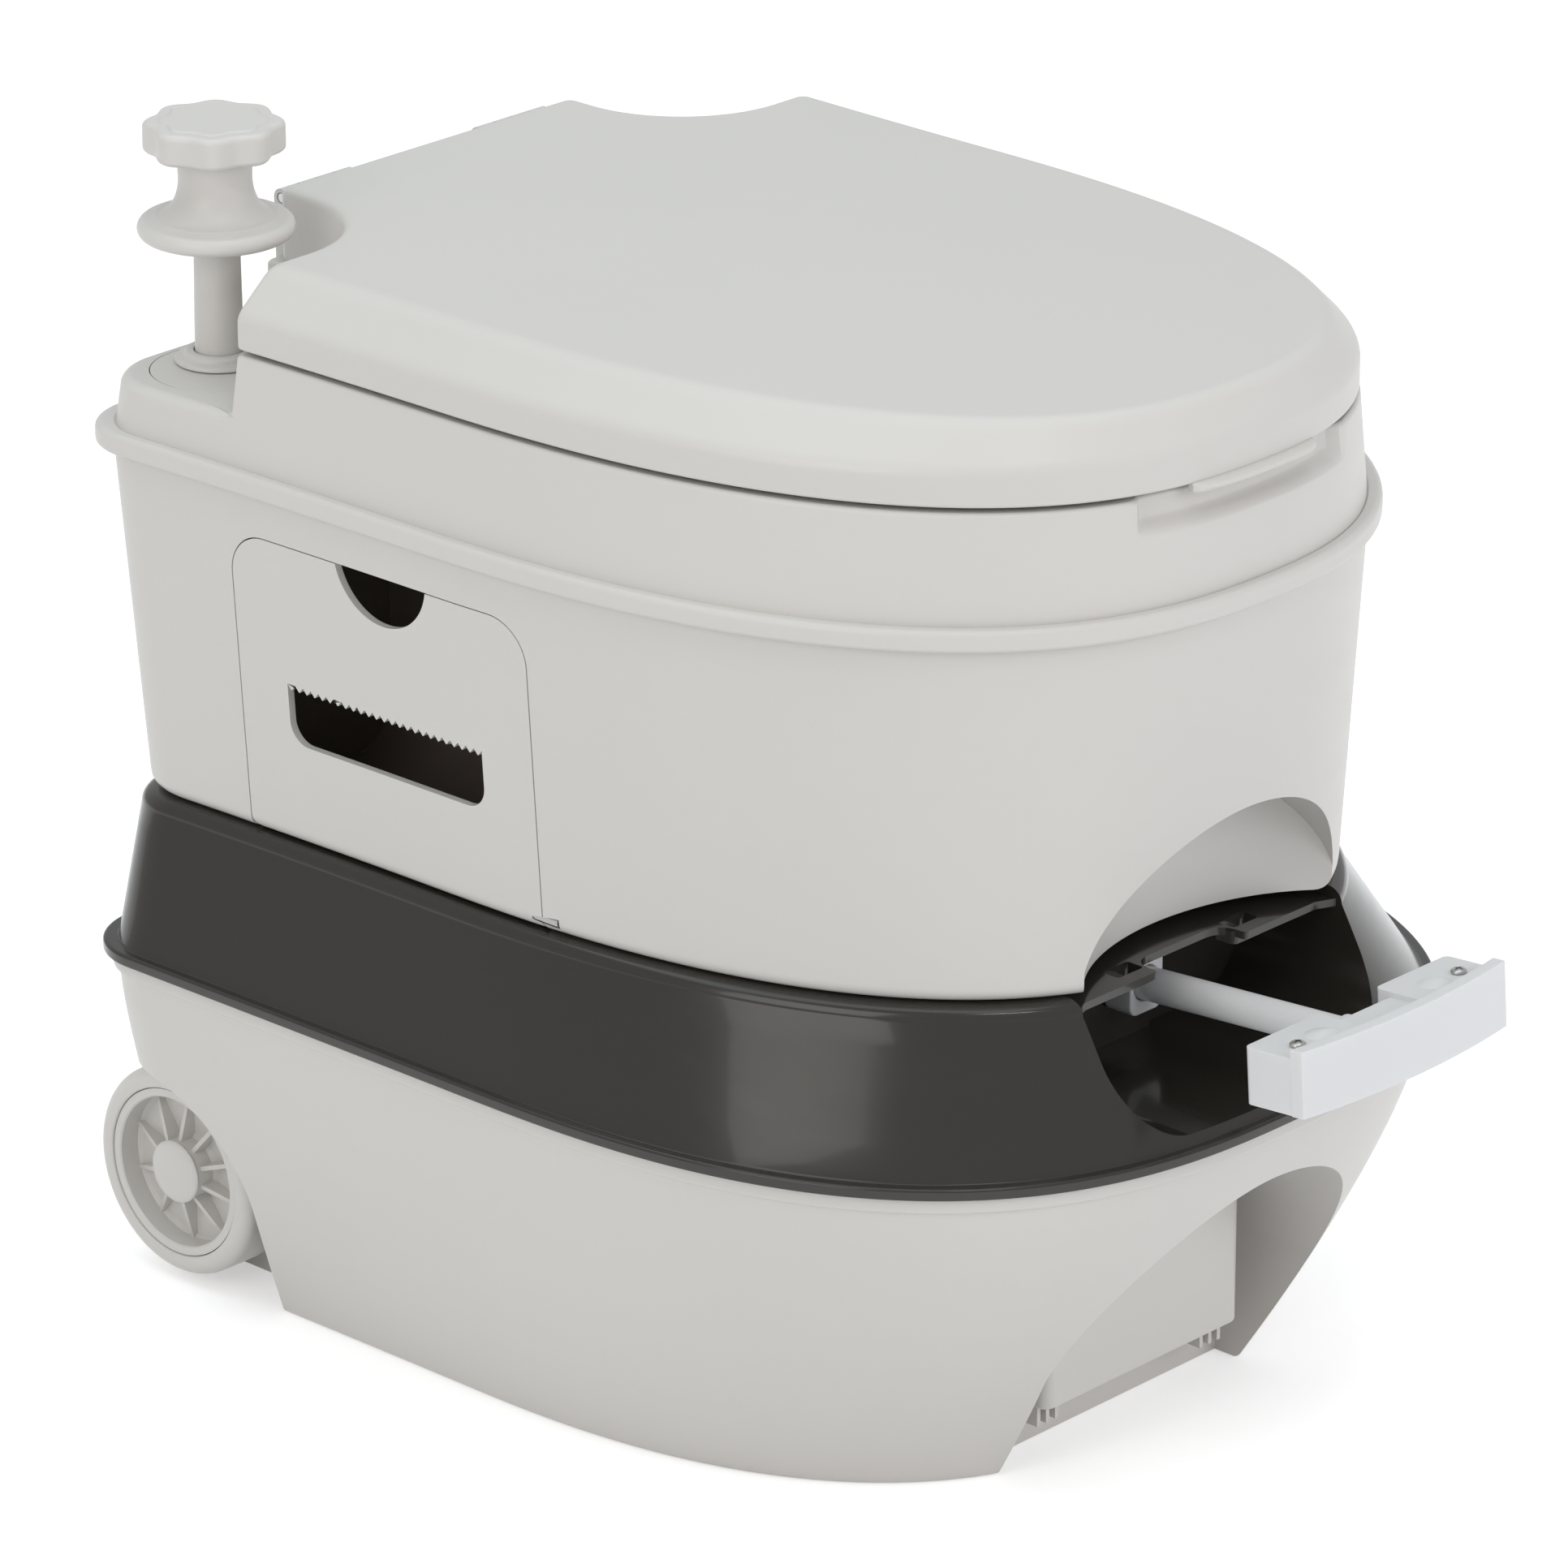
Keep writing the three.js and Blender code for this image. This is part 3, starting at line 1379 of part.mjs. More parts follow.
const rimPlan = shrink(lipPlan, rimInset);
const floorPlan = {
  ...shrink(rimPlan, footSideTaper, footFrontTaper, footRearTaper),
  widestY: footWidestY, power: footPowerShare,
};
const wheelMidX = bodyHalf - wheelSideInset - wheelWidth / 2;
const wellX = wheelMidX - wheelWidth / 2 - wellGap;

function bottomBody(margin) {
  const rings = [];
  const top = bottomShellHeight - rimBand - rimStep;
  const wallTop = shrink(rimPlan, rimStep + margin);
  const foot = shrink(floorPlan, margin);
  for (let i = 0; i <= bottomSteps; i += 1) {
    const share = (1 - i / bottomSteps) ** bottomEaseShare;
    rings.push([outline(mix(wallTop, foot, share)), (top * i) / bottomSteps]);
  }
  return rings;
}

function wells(margin) {
  const side = (sign) => {
    const x0 = sign < 0 ? -cutReach : wellX - margin;
    const x1 = sign < 0 ? -(wellX - margin) : cutReach;
    return joined([
      cylinderX(wellRadius + margin, x0, x1, axleY, axleZ, roundFacets),
      box(x0, x1, axleY - wellRadius - margin, cutReach, -cutOverrun, axleZ),
    ]);
  };
  return side(-1).add(side(1));
}

// The channel under the floor that the axle lies in.
function axleChannel(margin) {
  const end = wellX - axleBearing - margin;
  const half = axleRadius + slideGap * 2 + margin;
  return box(-end, end, axleY - half, axleY + half, -cutOverrun, axleZ + half);
}

function lowArch(margin) {
  const arch = new THREE.Shape();
  arch.moveTo(-(lowArchFoot + margin), -cutOverrun);
  arch.lineTo(lowArchFoot + margin, -cutOverrun);
  arch.lineTo(lowArchFoot + margin, 0);
  arch.lineTo(lowArchHalf + margin, lowArchSide);
  arch.absellipse(0, lowArchSide, lowArchHalf + margin, lowArchRise + margin, 0, Math.PI);
  arch.lineTo(-(lowArchFoot + margin), 0);
  return prismY(arch, -cutReach, lowWallY + margin, archFacets);
}

function wasteTankBottom() {
  const rim = outline(rimPlan);
  const groove = outline(shrink(rimPlan, rimStep));
  const outer = bottomBody(0);
  const body = loft([
    ...outer,
    [groove, bottomShellHeight - rimBand],
    [rim, bottomShellHeight - rimBand + rimStep],
    [rim, bottomShellHeight],
  ]);
  const innerTop = outline(shrink(rimPlan, rimStep + wasteWall));
  const inner = bottomBody(wasteWall).filter(([, height]) => height > floorHeight);
  const floorShare = 1 - floorHeight / (bottomShellHeight - rimBand - rimStep);
  const floorRing = mix(
    shrink(rimPlan, rimStep + wasteWall), shrink(floorPlan, wasteWall), floorShare ** bottomEaseShare,
  );
  const floorEdge = outline(floorRing);
  const hollow = loft([[floorEdge, floorHeight], ...inner, [innerTop, bottomShellHeight + cutOverrun]])
    .subtract(wells(wasteWall))
    .subtract(lowArch(wasteWall))
    .subtract(axleChannel(wasteWall));
  const skirt = outline(shrink(floorPlan, skirtWall));
  const under = loft([[skirt, -cutOverrun], [skirt, floorHeight - wasteWall]])
    .subtract(wells(skirtWall))
    .subtract(lowArch(skirtWall));
  return body
    .subtract(hollow)
    .subtract(under)
    .subtract(wells(0))
    .subtract(lowArch(0))
    .subtract(axleChannel(0))
    .subtract(cylinderX(axleRadius + axleGap, -cutReach, cutReach, axleY, axleZ));
}

part(wasteTank, 'waste_tank_bottom', wasteTankBottom(), palePlastic);

// Slide valve: the blade runs in a tilted frame under the plateau, pulled by the T-handle

function valveHousing() {
  const half = bladeHalf + slideGap;
  const slotHalf = bladeThickness / 2 + slideGap;
  const frameHalf = half + frameRail;
  const rails = box(
    -frameHalf, frameHalf, -(valveStroke + bladeHalf + frameLip), half + frameRail,
    -(slotHalf + frameFoot), slotHalf + frameFoot,
  );
  const window = box(
    -(half - frameLip), half - frameLip, -(valveStroke + bladeHalf + frameLip + cutOverrun),
    -(bladeHalf - slideGap), -(slotHalf + frameFoot + cutOverrun), slotHalf + frameFoot + cutOverrun,
  );
  const slot = box(-half, half, -cutReach, half, -slotHalf, slotHalf);
  const neck = disc(outletOuter, 0, plateauTop - wasteWall - valveZ + cutOverrun);
  const level = solidOf(
    new THREE.BoxGeometry(cutReach, cutReach, cutReach),
    valve.matrix.clone().invert().multiply(at(0, outletY, plateauTop - wasteWall - seatGap + cutReach / 2)),
  );
  const bore = disc(outletRadius, -cutReach, cutReach);
  return rails.subtract(window).add(neck).subtract(slot).subtract(level).subtract(bore);
}

part(valve, 'valve_housing', valveHousing(), shadowPlastic);

part(wasteTank, 'valve_seal', moved(
  ring(outletOuter + sealWidth, outletRadius, plateauTop + seatGap, plateauTop + sealHeight - seatGap),
  0, outletY, 0,
), rubber);

// The blade has a round rear end and a straight front, and stands open at rest.
function valveBlade() {
  const blade = new THREE.Shape();
  blade.moveTo(-bladeHalf, -bladeHalf);
  blade.lineTo(bladeHalf, -bladeHalf);
  blade.lineTo(bladeHalf, 0);
  blade.absarc(0, 0, bladeHalf, 0, Math.PI);
  return moved(prismZ(blade, -bladeThickness / 2, bladeThickness / 2, archFacets), 0, -valveStroke, 0);
}

part(valve, 'valve_blade', valveBlade(), whitePlastic);

const gripBackU = gripFrontU - gripDepth;
const gripTop = gripFoot + gripHeight - gripLip;

function handleRod() {
  const inner = -(valveStroke + bladeHalf) - seatGap;
  const outer = -(gripFrontU - gripThickness - seatGap);
  return cylinderY(stemRadius, outer, inner, 0, 0);
}

part(valve, 'handle_rod', handleRod(), whitePlastic);

// Grip: a bowed front plate with a box behind each half, open below, and a socket for the rod.
function handleBar() {
  const bow = new THREE.Shape();
  const rise = (x) => gripBulge * (1 - (x / gripHalf) ** 2);
  for (let i = 0; i <= bowSteps; i += 1) {
    const x = -gripHalf + (2 * gripHalf * i) / bowSteps;
    const y = -(gripFrontU + rise(x));
    if (i === 0) bow.moveTo(x, y);
    else bow.lineTo(x, y);
  }
  for (let i = bowSteps; i >= 0; i -= 1) {
    const x = -gripHalf + (2 * gripHalf * i) / bowSteps;
    bow.lineTo(x, -(gripFrontU + rise(x)) + gripThickness);
  }
  const front = prismZ(bow, gripFoot, gripFoot + gripHeight);
  const boxEnd = gripHalf - slideGap;
  const frontInner = -(gripFrontU - gripThickness);
  const boxOuter = box(gripBoxInner, boxEnd, -gripFrontU, -gripBackU, gripFoot, gripTop);
  const boxInner = box(
    gripBoxInner + gripWall, boxEnd - gripWall, frontInner, -(gripBackU + gripWall),
    gripFoot - cutOverrun, gripTop - gripWall,
  );
  const bump = disc(gripBumpRadius, gripTop - gripWall, gripTop + gripBumpHeight, smallFacets);
  const webHalf = gripBoxInner + slideGap;
  const web = box(-webHalf, webHalf, -gripFrontU, -(gripFrontU - gripWebDepth), gripFoot, gripTop);
  const socket = cylinderY(stemRadius + socketWall, -gripFrontU, -(gripBackU - socketProud), 0, 0);
  const screwHole = disc(screwShank + seatGap, gripFoot - cutOverrun, gripTop + cutOverrun, smallFacets);
  return joined([front, bothSides(boxOuter), web, socket])
    .subtract(bothSides(boxInner))
    .add(bothSides(moved(bump, gripBumpX, -gripScrewU, 0)))
    .subtract(bothSides(moved(screwHole, screwX, -gripScrewU, 0)))
    .subtract(cylinderY(stemRadius + seatGap, frontInner, 0, 0, 0));
}

part(valve, 'handle_bar', handleBar(), whitePlastic);

['left', 'right'].forEach((side, i) => {
  const sign = i === 0 ? -1 : 1;
  const screw = turned([
    [0, gripTop - screwLength],
    [screwShank, gripTop - screwLength],
    [screwShank, gripTop + seatGap],
    [screwRadius, gripTop + seatGap],
    [screwRadius, gripTop + seatGap + screwHead / 2],
    [screwRadius / 2, gripTop + seatGap + screwHead],
    [0, gripTop + seatGap + screwHead],
  ], smallFacets);
  part(valve, `handle_screw_${side}`, moved(screw, sign * screwX, -gripScrewU, 0), steel);
});

function rodGuide() {
  const middleZ = valveZ + lugRise;
  const rearY = recessBackY - bossProud - seatGap;
  const block = roundedRect(-lugHalf, lugHalf, middleZ - lugFoot, middleZ + lugHead, lugCorner);
  return prismY(block, rearY - lugLength, rearY)
    .subtract(stemWay(slideGap));
}

part(wasteTank, 'rod_guide', rodGuide(), whitePlastic);

// Axle and wheels

part(wasteTank, 'axle', cylinderX(
  axleRadius, -(wheelMidX + hubReach - seatGap), wheelMidX + hubReach - seatGap, axleY, axleZ,
), steel);

function wheelRim() {
  const half = wheelWidth / 2;
  const outer = tyreInner - seatGap;
  const inner = outer - rimThickness;
  const web = webThickness / 2;
  const body = turned([
    [axleRadius + axleGap, -half],
    [hubRadius, -half],
    [hubRadius, -web],
    [inner, -web],
    [inner, rimFlat - half],
    [outer, rimFlat - half],
    [outer, half - rimFlat],
    [inner, half - rimFlat],
    [inner, web],
    [hubRadius, web],
    [hubRadius, hubReach],
    [axleRadius + axleGap, hubReach],
    [axleRadius + axleGap, -half],
  ], wheelFacets);
  const gusset = new THREE.Shape();
  gusset.moveTo(hubRadius - webThickness / 2, 0);
  gusset.lineTo(inner + rimThickness / 2, 0);
  gusset.lineTo(inner + rimThickness / 2, web * 2);
  gusset.lineTo(hubRadius - webThickness / 2, hubReach - web);
  const ribs = [];
  for (let i = 0; i < ribCount; i += 1) {
    const blade = new THREE.ExtrudeGeometry(gusset, { depth: ribThickness, bevelEnabled: false });
    const upright = new THREE.Matrix4().makeRotationX(Math.PI / 2);
    const turn = new THREE.Matrix4().makeRotationZ((2 * Math.PI * i) / ribCount);
    ribs.push(solidOf(blade, turn.multiply(at(0, ribThickness / 2, 0)).multiply(upright)));
  }
  return joined([body, ...ribs]);
}

function tyre() {
  const half = wheelWidth / 2;
  return turned([
    [tyreInner, -half],
    [wheelRadius - tyreShoulder, -half],
    [wheelRadius, -half + tyreShoulder],
    [wheelRadius, half - tyreShoulder],
    [wheelRadius - tyreShoulder, half],
    [tyreInner, half],
    [tyreInner, -half],
  ], wheelFacets);
}

const rimSolid = wheelRim();
const tyreSolid = tyre();
const capSolid = turned([
  [0, hubReach + seatGap],
  [hubCapRadius, hubReach + seatGap],
  [hubCapRadius, hubReach + seatGap + hubCapHeight / 2],
  [hubCapRadius / 2, hubReach + seatGap + hubCapHeight],
  [0, hubReach + seatGap + hubCapHeight],
], wheelFacets);
['left', 'right'].forEach((side, i) => {
  const sign = i === 0 ? -1 : 1;
  const wheel = new THREE.Group();
  wheel.position.set(sign * wheelMidX, axleY, axleZ);
  wheel.rotation.y = (sign * Math.PI) / 2;
  wasteTank.add(wheel);
  part(wheel, `wheel_rim_${side}`, rimSolid, palePlastic);
  part(wheel, `tyre_${side}`, tyreSolid, palePlastic);
  part(wheel, `hub_cap_${side}`, capSolid, palePlastic);
});

// Emptying spout: an elbow that swivels on the rear wall, closed by a screw cap

const elbowBendY = spoutFaceY + seatGap + spoutFlangeHeight + spoutBend;

// Share of a quarter circle's radius at which a cubic curve's handles stand.
const roundShare = 0.5523;

function spoutElbow() {
  const path = new THREE.CurvePath();
  const rootY = spoutFaceY + seatGap;
  const flangeY = rootY + spoutFlangeHeight;
  const inner = spoutRadius - spoutWall;
  const root = new THREE.Vector3(0, rootY, spoutZ);
  const bendStart = new THREE.Vector3(0, flangeY, spoutZ);
  const bendEnd = new THREE.Vector3(spoutBend, elbowBendY, spoutZ);
  const mouth = new THREE.Vector3(spoutReach, elbowBendY, spoutZ);
  path.add(new THREE.LineCurve3(root, bendStart));
  path.add(new THREE.CubicBezierCurve3(
    bendStart,
    new THREE.Vector3(0, elbowBendY - spoutBend * (1 - roundShare), spoutZ),
    new THREE.Vector3(spoutBend * (1 - roundShare), elbowBendY, spoutZ),
    bendEnd,
  ));
  path.add(new THREE.LineCurve3(bendEnd, mouth));
  const flange = cylinderY(spoutFlange, rootY, flangeY, 0, spoutZ)
    .subtract(cylinderY(inner, rootY - cutOverrun, flangeY + cutOverrun, 0, spoutZ));
  const spigot = cylinderY(spoutBore, lipPlan.rear - lipOverhang, rootY + spoutWall, 0, spoutZ)
    .subtract(cylinderY(spoutBore - spoutWall, lipPlan.rear - cutOverrun * 2, flangeY, 0, spoutZ));
  return joined([tube(path, spoutRadius, inner, spoutTubeFacets, spoutSteps), flange, spigot]);
}

part(wasteTank, 'spout_elbow', spoutElbow(), darkPlastic);

const spout = new THREE.Group();
spout.position.set(spoutReach, elbowBendY, spoutZ);
spout.rotation.y = Math.PI / 2;
wasteTank.add(spout);
const spoutCeiling = seatGap + capSealHeight + seatGap;
part(spout, 'spout_cap', screwCap(
  spoutCapRadius, spoutRadius + slideGap, spoutCeiling + capWall - spoutCapHeight,
  spoutCeiling, spoutCeiling + capWall, capRibs,
), darkPlastic);
part(spout, 'spout_cap_seal', ring(
  spoutRadius, spoutRadius - spoutWall, seatGap, seatGap + capSealHeight, innerFacets,
), rubber);

// Vent button: pressed in against its seal to let air into the tank while it is poured out

function ventButton() {
  const inner = lipPlan.rear - lipOverhang - wasteWall - seatGap - ventSealHeight - seatGap;
  const neck = ventFaceY + ventTravel + seatGap;
  return joined([
    cylinderY(ventShaftRadius, inner - ventInnerHead, neck + ventProud, ventX, ventZ),
    cylinderY(ventRadius, neck, neck + ventProud, ventX, ventZ),
    cylinderY(ventInnerRadius, inner - ventInnerHead, inner, ventX, ventZ),
  ]);
}

function ventSeal() {
  const high = lipPlan.rear - lipOverhang - wasteWall - seatGap;
  return cylinderY(ventInnerRadius, high - ventSealHeight, high, ventX, ventZ)
    .subtract(cylinderY(ventShaftRadius + seatGap, high - cutOverrun, high + cutOverrun, ventX, ventZ));
}

part(wasteTank, 'vent_button', ventButton(), shadowPlastic);
part(wasteTank, 'vent_seal', ventSeal(), rubber);

toilet.updateMatrixWorld(true);
const footprint = new THREE.Box3().setFromObject(toilet);
const middle = footprint.getCenter(new THREE.Vector3());

// The origin is the middle of the part's footprint box, on the floor.
toilet.position.set(-middle.x, -middle.y, -footprint.min.z);

export default toilet;
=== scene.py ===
import json
import math

import bmesh
import bpy
import numpy as np
from mathutils import Matrix, Vector


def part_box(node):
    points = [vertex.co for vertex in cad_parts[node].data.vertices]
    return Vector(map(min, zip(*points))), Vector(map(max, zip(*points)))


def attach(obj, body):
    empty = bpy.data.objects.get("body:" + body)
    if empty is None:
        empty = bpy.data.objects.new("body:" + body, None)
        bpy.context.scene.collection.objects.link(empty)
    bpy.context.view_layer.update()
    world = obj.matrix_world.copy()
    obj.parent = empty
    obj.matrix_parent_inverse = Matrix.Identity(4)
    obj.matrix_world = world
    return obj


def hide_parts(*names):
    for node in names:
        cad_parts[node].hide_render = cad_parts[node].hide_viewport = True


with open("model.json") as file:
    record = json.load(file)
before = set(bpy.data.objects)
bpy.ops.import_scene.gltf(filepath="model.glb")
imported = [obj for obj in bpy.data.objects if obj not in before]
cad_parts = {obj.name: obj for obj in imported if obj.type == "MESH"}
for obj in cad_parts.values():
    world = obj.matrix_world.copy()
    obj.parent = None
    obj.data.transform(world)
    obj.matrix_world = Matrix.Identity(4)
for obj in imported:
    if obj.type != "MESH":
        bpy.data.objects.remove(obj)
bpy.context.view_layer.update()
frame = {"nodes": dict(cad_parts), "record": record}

scene = bpy.context.scene

# A portable cassette toilet. Shapes are worked out in millimetres, with the rounded front at -Y, the hand
# pump on the left at the rear and the filler on the right, and are turned to metres when a mesh is made.


# A dictionary of sizes whose entries are read as attributes.
class Sizes(dict):
    __getattr__ = dict.__getitem__


body = Sizes(half=173.0, flare=3.6, rear=204.0, front=233.7, widest=27.0, corner=27.0, power=2.43)
levels = Sizes(
    lip=144.0, shoulder=202.3, plateau=204.7, foot=202.6, floor=208.6, beltLow=340.8, tankHead=345.1,
    beltHigh=349.4, pad=367.0, platform=389.5, rim=391.4, crease=404.5, top=420.0,
)
pumpX, pumpY, fillerY = 125.0, 173.0, 165.0
pumpPlace, fillerPlace = (-pumpX, pumpY, 0), (pumpX, fillerY, 0)
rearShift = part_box("upper_deck")[1].y * 1000 - body.rear   # from the drawing's middle to the frame's origin
middle = (0, -rearShift, 0)   # the frame's origin, as a place in the drawing


# Meshes

# Doubles are merged and the faces turned outward.
def tidyMesh(piece, distance=0.00001):
    work = bmesh.new()
    work.from_mesh(piece.data)
    bmesh.ops.remove_doubles(work, verts=work.verts, dist=distance)
    bmesh.ops.dissolve_degenerate(work, edges=work.edges, dist=distance / 10)
    bmesh.ops.recalc_face_normals(work, faces=work.faces)
    if work.calc_volume(signed=True) < 0:
        bmesh.ops.reverse_faces(work, faces=work.faces)
    work.to_mesh(piece.data)
    work.free()


# Rings of equal point counts joined by quads; a cap closes each end, or the last ring joins the first.
def ringSolid(rings, loop=False):
    count, last = len(rings[0]), len(rings) - 1
    points = np.concatenate([np.asarray(ring, float) for ring in rings])
    index = np.arange(count)
    after = (index + 1) % count
    pairs = [(i, i + 1) for i in range(last)] + [(last, 0)] * loop
    faces = np.concatenate([
        np.stack([low * count + index, low * count + after, high * count + after, high * count + index], 1)
        for low, high in pairs
    ]).tolist()
    if not loop:
        faces += [list(range(count - 1, -1, -1)), list(range(last * count, (last + 1) * count))]
    mesh = bpy.data.meshes.new("rings")
    mesh.from_pydata(((points + (0.0, rearShift, 0.0)) / 1000).tolist(), [], faces)
    mesh.validate()
    piece = bpy.data.objects.new("rings", mesh)
    scene.collection.objects.link(piece)
    tidyMesh(piece)
    return piece


def applyModifiers(piece):
    bpy.context.view_layer.update()
    evaluated = piece.evaluated_get(bpy.context.evaluated_depsgraph_get())
    mesh = bpy.data.meshes.new_from_object(evaluated)
    piece.modifiers.clear()
    piece.data = mesh


# Joins or cuts a piece with others, which are used up.
def combine(piece, others, operation):
    for other in others:
        modifier = piece.modifiers.new("combine", "BOOLEAN")
        modifier.operation = operation
        modifier.solver = "EXACT"
        modifier.object = other
        applyModifiers(piece)
        bpy.data.objects.remove(other)
    return piece


def cut(piece, *others):
    return combine(piece, others, "DIFFERENCE")


def join(piece, *others):
    return combine(piece, others, "UNION")


def keep(piece, *others):
    return combine(piece, others, "INTERSECT")


def duplicate(piece):
    other = piece.copy()
    other.data = piece.data.copy()
    scene.collection.objects.link(other)
    return other


# Rounds the edges that turn by more than an angle and are chosen by their middle's x, y and z.
def softEdges(piece, width, chosen, segments=3, angle=25):
    work = bmesh.new()
    work.from_mesh(piece.data)
    work.normal_update()
    edges = []
    for edge in work.edges:
        if len(edge.link_faces) == 2 and edge.calc_face_angle(0) >= math.radians(angle):
            x, y, z = (edge.verts[0].co + edge.verts[1].co) * 500
            if chosen(x, y - rearShift, z):
                edges.append(edge)
    bmesh.ops.bevel(
        work, geom=edges, offset=width / 1000, offset_type="OFFSET", segments=segments, profile=0.5,
        affect="EDGES", clamp_overlap=True,
    )
    work.to_mesh(piece.data)
    work.free()


# The last step of each piece: soft edges, smooth shading, body, finish and the CAD nodes it stands for.
def finishPiece(piece, name, bodyName, nodes, slot="pale_plastic", edge=0.0, angle=32, segments=2):
    piece.name = name
    tidyMesh(piece, 0.000005)
    if edge:
        bevel = piece.modifiers.new("edge", "BEVEL")
        bevel.limit_method = "ANGLE"
        bevel.angle_limit = math.radians(angle)
        bevel.width = edge / 1000
        bevel.segments = segments
        bevel.use_clamp_overlap = True
        bevel.miter_outer = "MITER_ARC"
        applyModifiers(piece)
    piece.data.name = name
    piece.data.polygons.foreach_set("use_smooth", np.ones(len(piece.data.polygons), bool))
    piece.data.set_sharp_from_angle(angle=math.radians(angle))
    weighted = piece.modifiers.new("normals", "WEIGHTED_NORMAL")
    weighted.keep_sharp = True
    weighted.weight = 60
    piece.data.materials.clear()
    piece.data.materials.append(finishes[slot])
    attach(piece, bodyName)
    if nodes:
        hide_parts(*nodes)
    return piece


# Paths and loops

# Points spread evenly by length along a path.
def evenly(path, count):
    path = np.asarray(path, float)
    along = np.concatenate([[0], np.cumsum(np.hypot(*np.diff(path, axis=0).T))])
    places = np.linspace(0, along[-1], count)
    return np.stack([np.interp(places, along, path[:, 0]), np.interp(places, along, path[:, 1])], 1)


def arc(x, y, radius, start, end, count=12):
    t = np.radians(np.linspace(start, end, count))
    return np.stack([x + radius * np.cos(t), y + radius * np.sin(t)], 1)


# A quadratic curve between two points, towards the handle.
def bend(start, handle, end, count=16):
    t = np.linspace(0, 1, count)[:, None]
    return (1 - t) ** 2 * np.array(start) + 2 * t * (1 - t) * np.array(handle) + t ** 2 * np.array(end)


# Quarter-round steps from (0, 0) to (run, rise): the edge leaves along the rise and ends along the run.
def quarter(run, rise, count=5):
    return [(run * (1 - math.cos(a)), rise * math.sin(a)) for a in np.linspace(0, np.pi / 2, count)]


def eased(share):
    share = np.clip(share, 0, 1)
    return share * share * (3 - 2 * share)


def atHeight(path, height):
    return np.column_stack([path, np.full(len(path), float(height))])


# Two distances from the middle, as the lower and the higher x on one side.
def onSide(sign, near, far):
    return sorted((sign * near, sign * far))


# Half a symmetric path, given on the right, with its mirror image.
def bothSides(right):
    return np.concatenate([right, right[::-1] * (-1, 1)])


def rectanglePath(x0, x1, y0, y1, low, high=None, count=10):
    high = low if high is None else high
    return np.concatenate([
        arc(x1 - low, y0 + low, low, -90, 0, count), arc(x1 - high, y1 - high, high, 0, 90, count),
        arc(x0 + high, y1 - high, high, 90, 180, count), arc(x0 + low, y0 + low, low, 180, 270, count),
    ])


# Plans: a superelliptic nose at the front, slightly flared sides and rounded rear corners

def shrink(plan, side, front=None, rear=None):
    front = side if front is None else front
    rear = side if rear is None else rear
    return Sizes(plan, half=plan.half - side, front=plan.front - front, rear=plan.rear - rear)


def mix(low, high, share):
    return Sizes((key, low[key] + (high[key] - low[key]) * share) for key in low)


def sideX(plan, y):
    return plan.half + plan.flare * ((y - plan.widest) / (plan.rear - plan.widest)) ** 2


# The nose: |x / half| to the power p plus |depth / length| to the power p is one.
def nosePath(plan, count=400):
    t = np.linspace(0, np.pi / 2, count)
    x = plan.half * np.sin(t) ** (2 / plan.power)
    y = plan.widest - (plan.widest + plan.front) * np.cos(t) ** (2 / plan.power)
    return np.stack([x, y], 1)


steps = Sizes(nose=110, side=12, rear=8, run=5, soft=8, arc=30, corner=24)
notch = Sizes(radius=47.0, soft=3.0, margin=14.0)


# The right rear corner: round the plan's own corner, or stepping in round the pump or the filler.
def cornerPath(plan, start, end, radius):
    if radius is None:
        endY = plan.rear - plan.corner
        y = np.linspace(start[1], endY, 12)
        around = arc(sideX(plan, endY) - plan.corner, endY, plan.corner, 0, 90, steps.corner)
        path = np.concatenate([np.stack([sideX(plan, y), y], 1), around, [end]])
        return evenly(path, 3 * steps.run + 2 * steps.soft + steps.arc + 5)
    soft, run = notch.soft, steps.run
    turnY = pumpY - radius - soft
    first = arc(sideX(plan, turnY) - soft, turnY, soft, 0, 90, steps.soft)
    last = arc(pumpX - radius - soft, plan.rear - soft, soft, 0, 90, steps.soft)
    around = arc(pumpX, pumpY, radius, -90, -180, steps.arc)
    return np.concatenate([
        np.linspace(start, first[0], run + 1)[:-1], first, np.linspace(first[-1], around[0], run + 3)[1:-1],
        around, np.linspace(around[-1], last[0], run + 3)[1:-1], last, np.linspace(last[-1], end, 4)[1:],
    ])


# A loop seen from above, from the front's middle round the right side to the rear and back on the left.
# With a radius, each rear corner steps in round the pump or the filler by a line, a quarter arc and a line.
def outline(plan, height, radius=None):
    inner = notch.radius + notch.soft + notch.margin
    sideY = np.linspace(plan.widest, pumpY - inner, steps.side)
    side = np.stack([sideX(plan, sideY), sideY], 1)
    corner = cornerPath(plan, side[-1], np.array([pumpX - inner, plan.rear]), radius)
    right = np.concatenate([
        evenly(nosePath(plan), steps.nose)[:-1], side[:-1], corner[:-1],
        np.linspace(corner[-1], [0, plan.rear], steps.rear),
    ])
    return atHeight(np.concatenate([right, right[1:-1][::-1] * (-1, 1)]), height)


# Loops round a soft edge, in and up to a top. A notch's radius grows as the plan shrinks.
def softTop(plan, top, soft, count, radius=None):
    return [
        outline(shrink(plan, run), top - soft + rise, radius and radius + run)
        for run, rise in quarter(soft, soft, count)
    ]


# The same from a foot, out and up.
def softFoot(plan, foot, soft, count, radius=None):
    return [
        outline(shrink(plan, run), foot + soft - rise, radius and radius + run)
        for run, rise in quarter(soft, soft, count)[::-1]
    ]


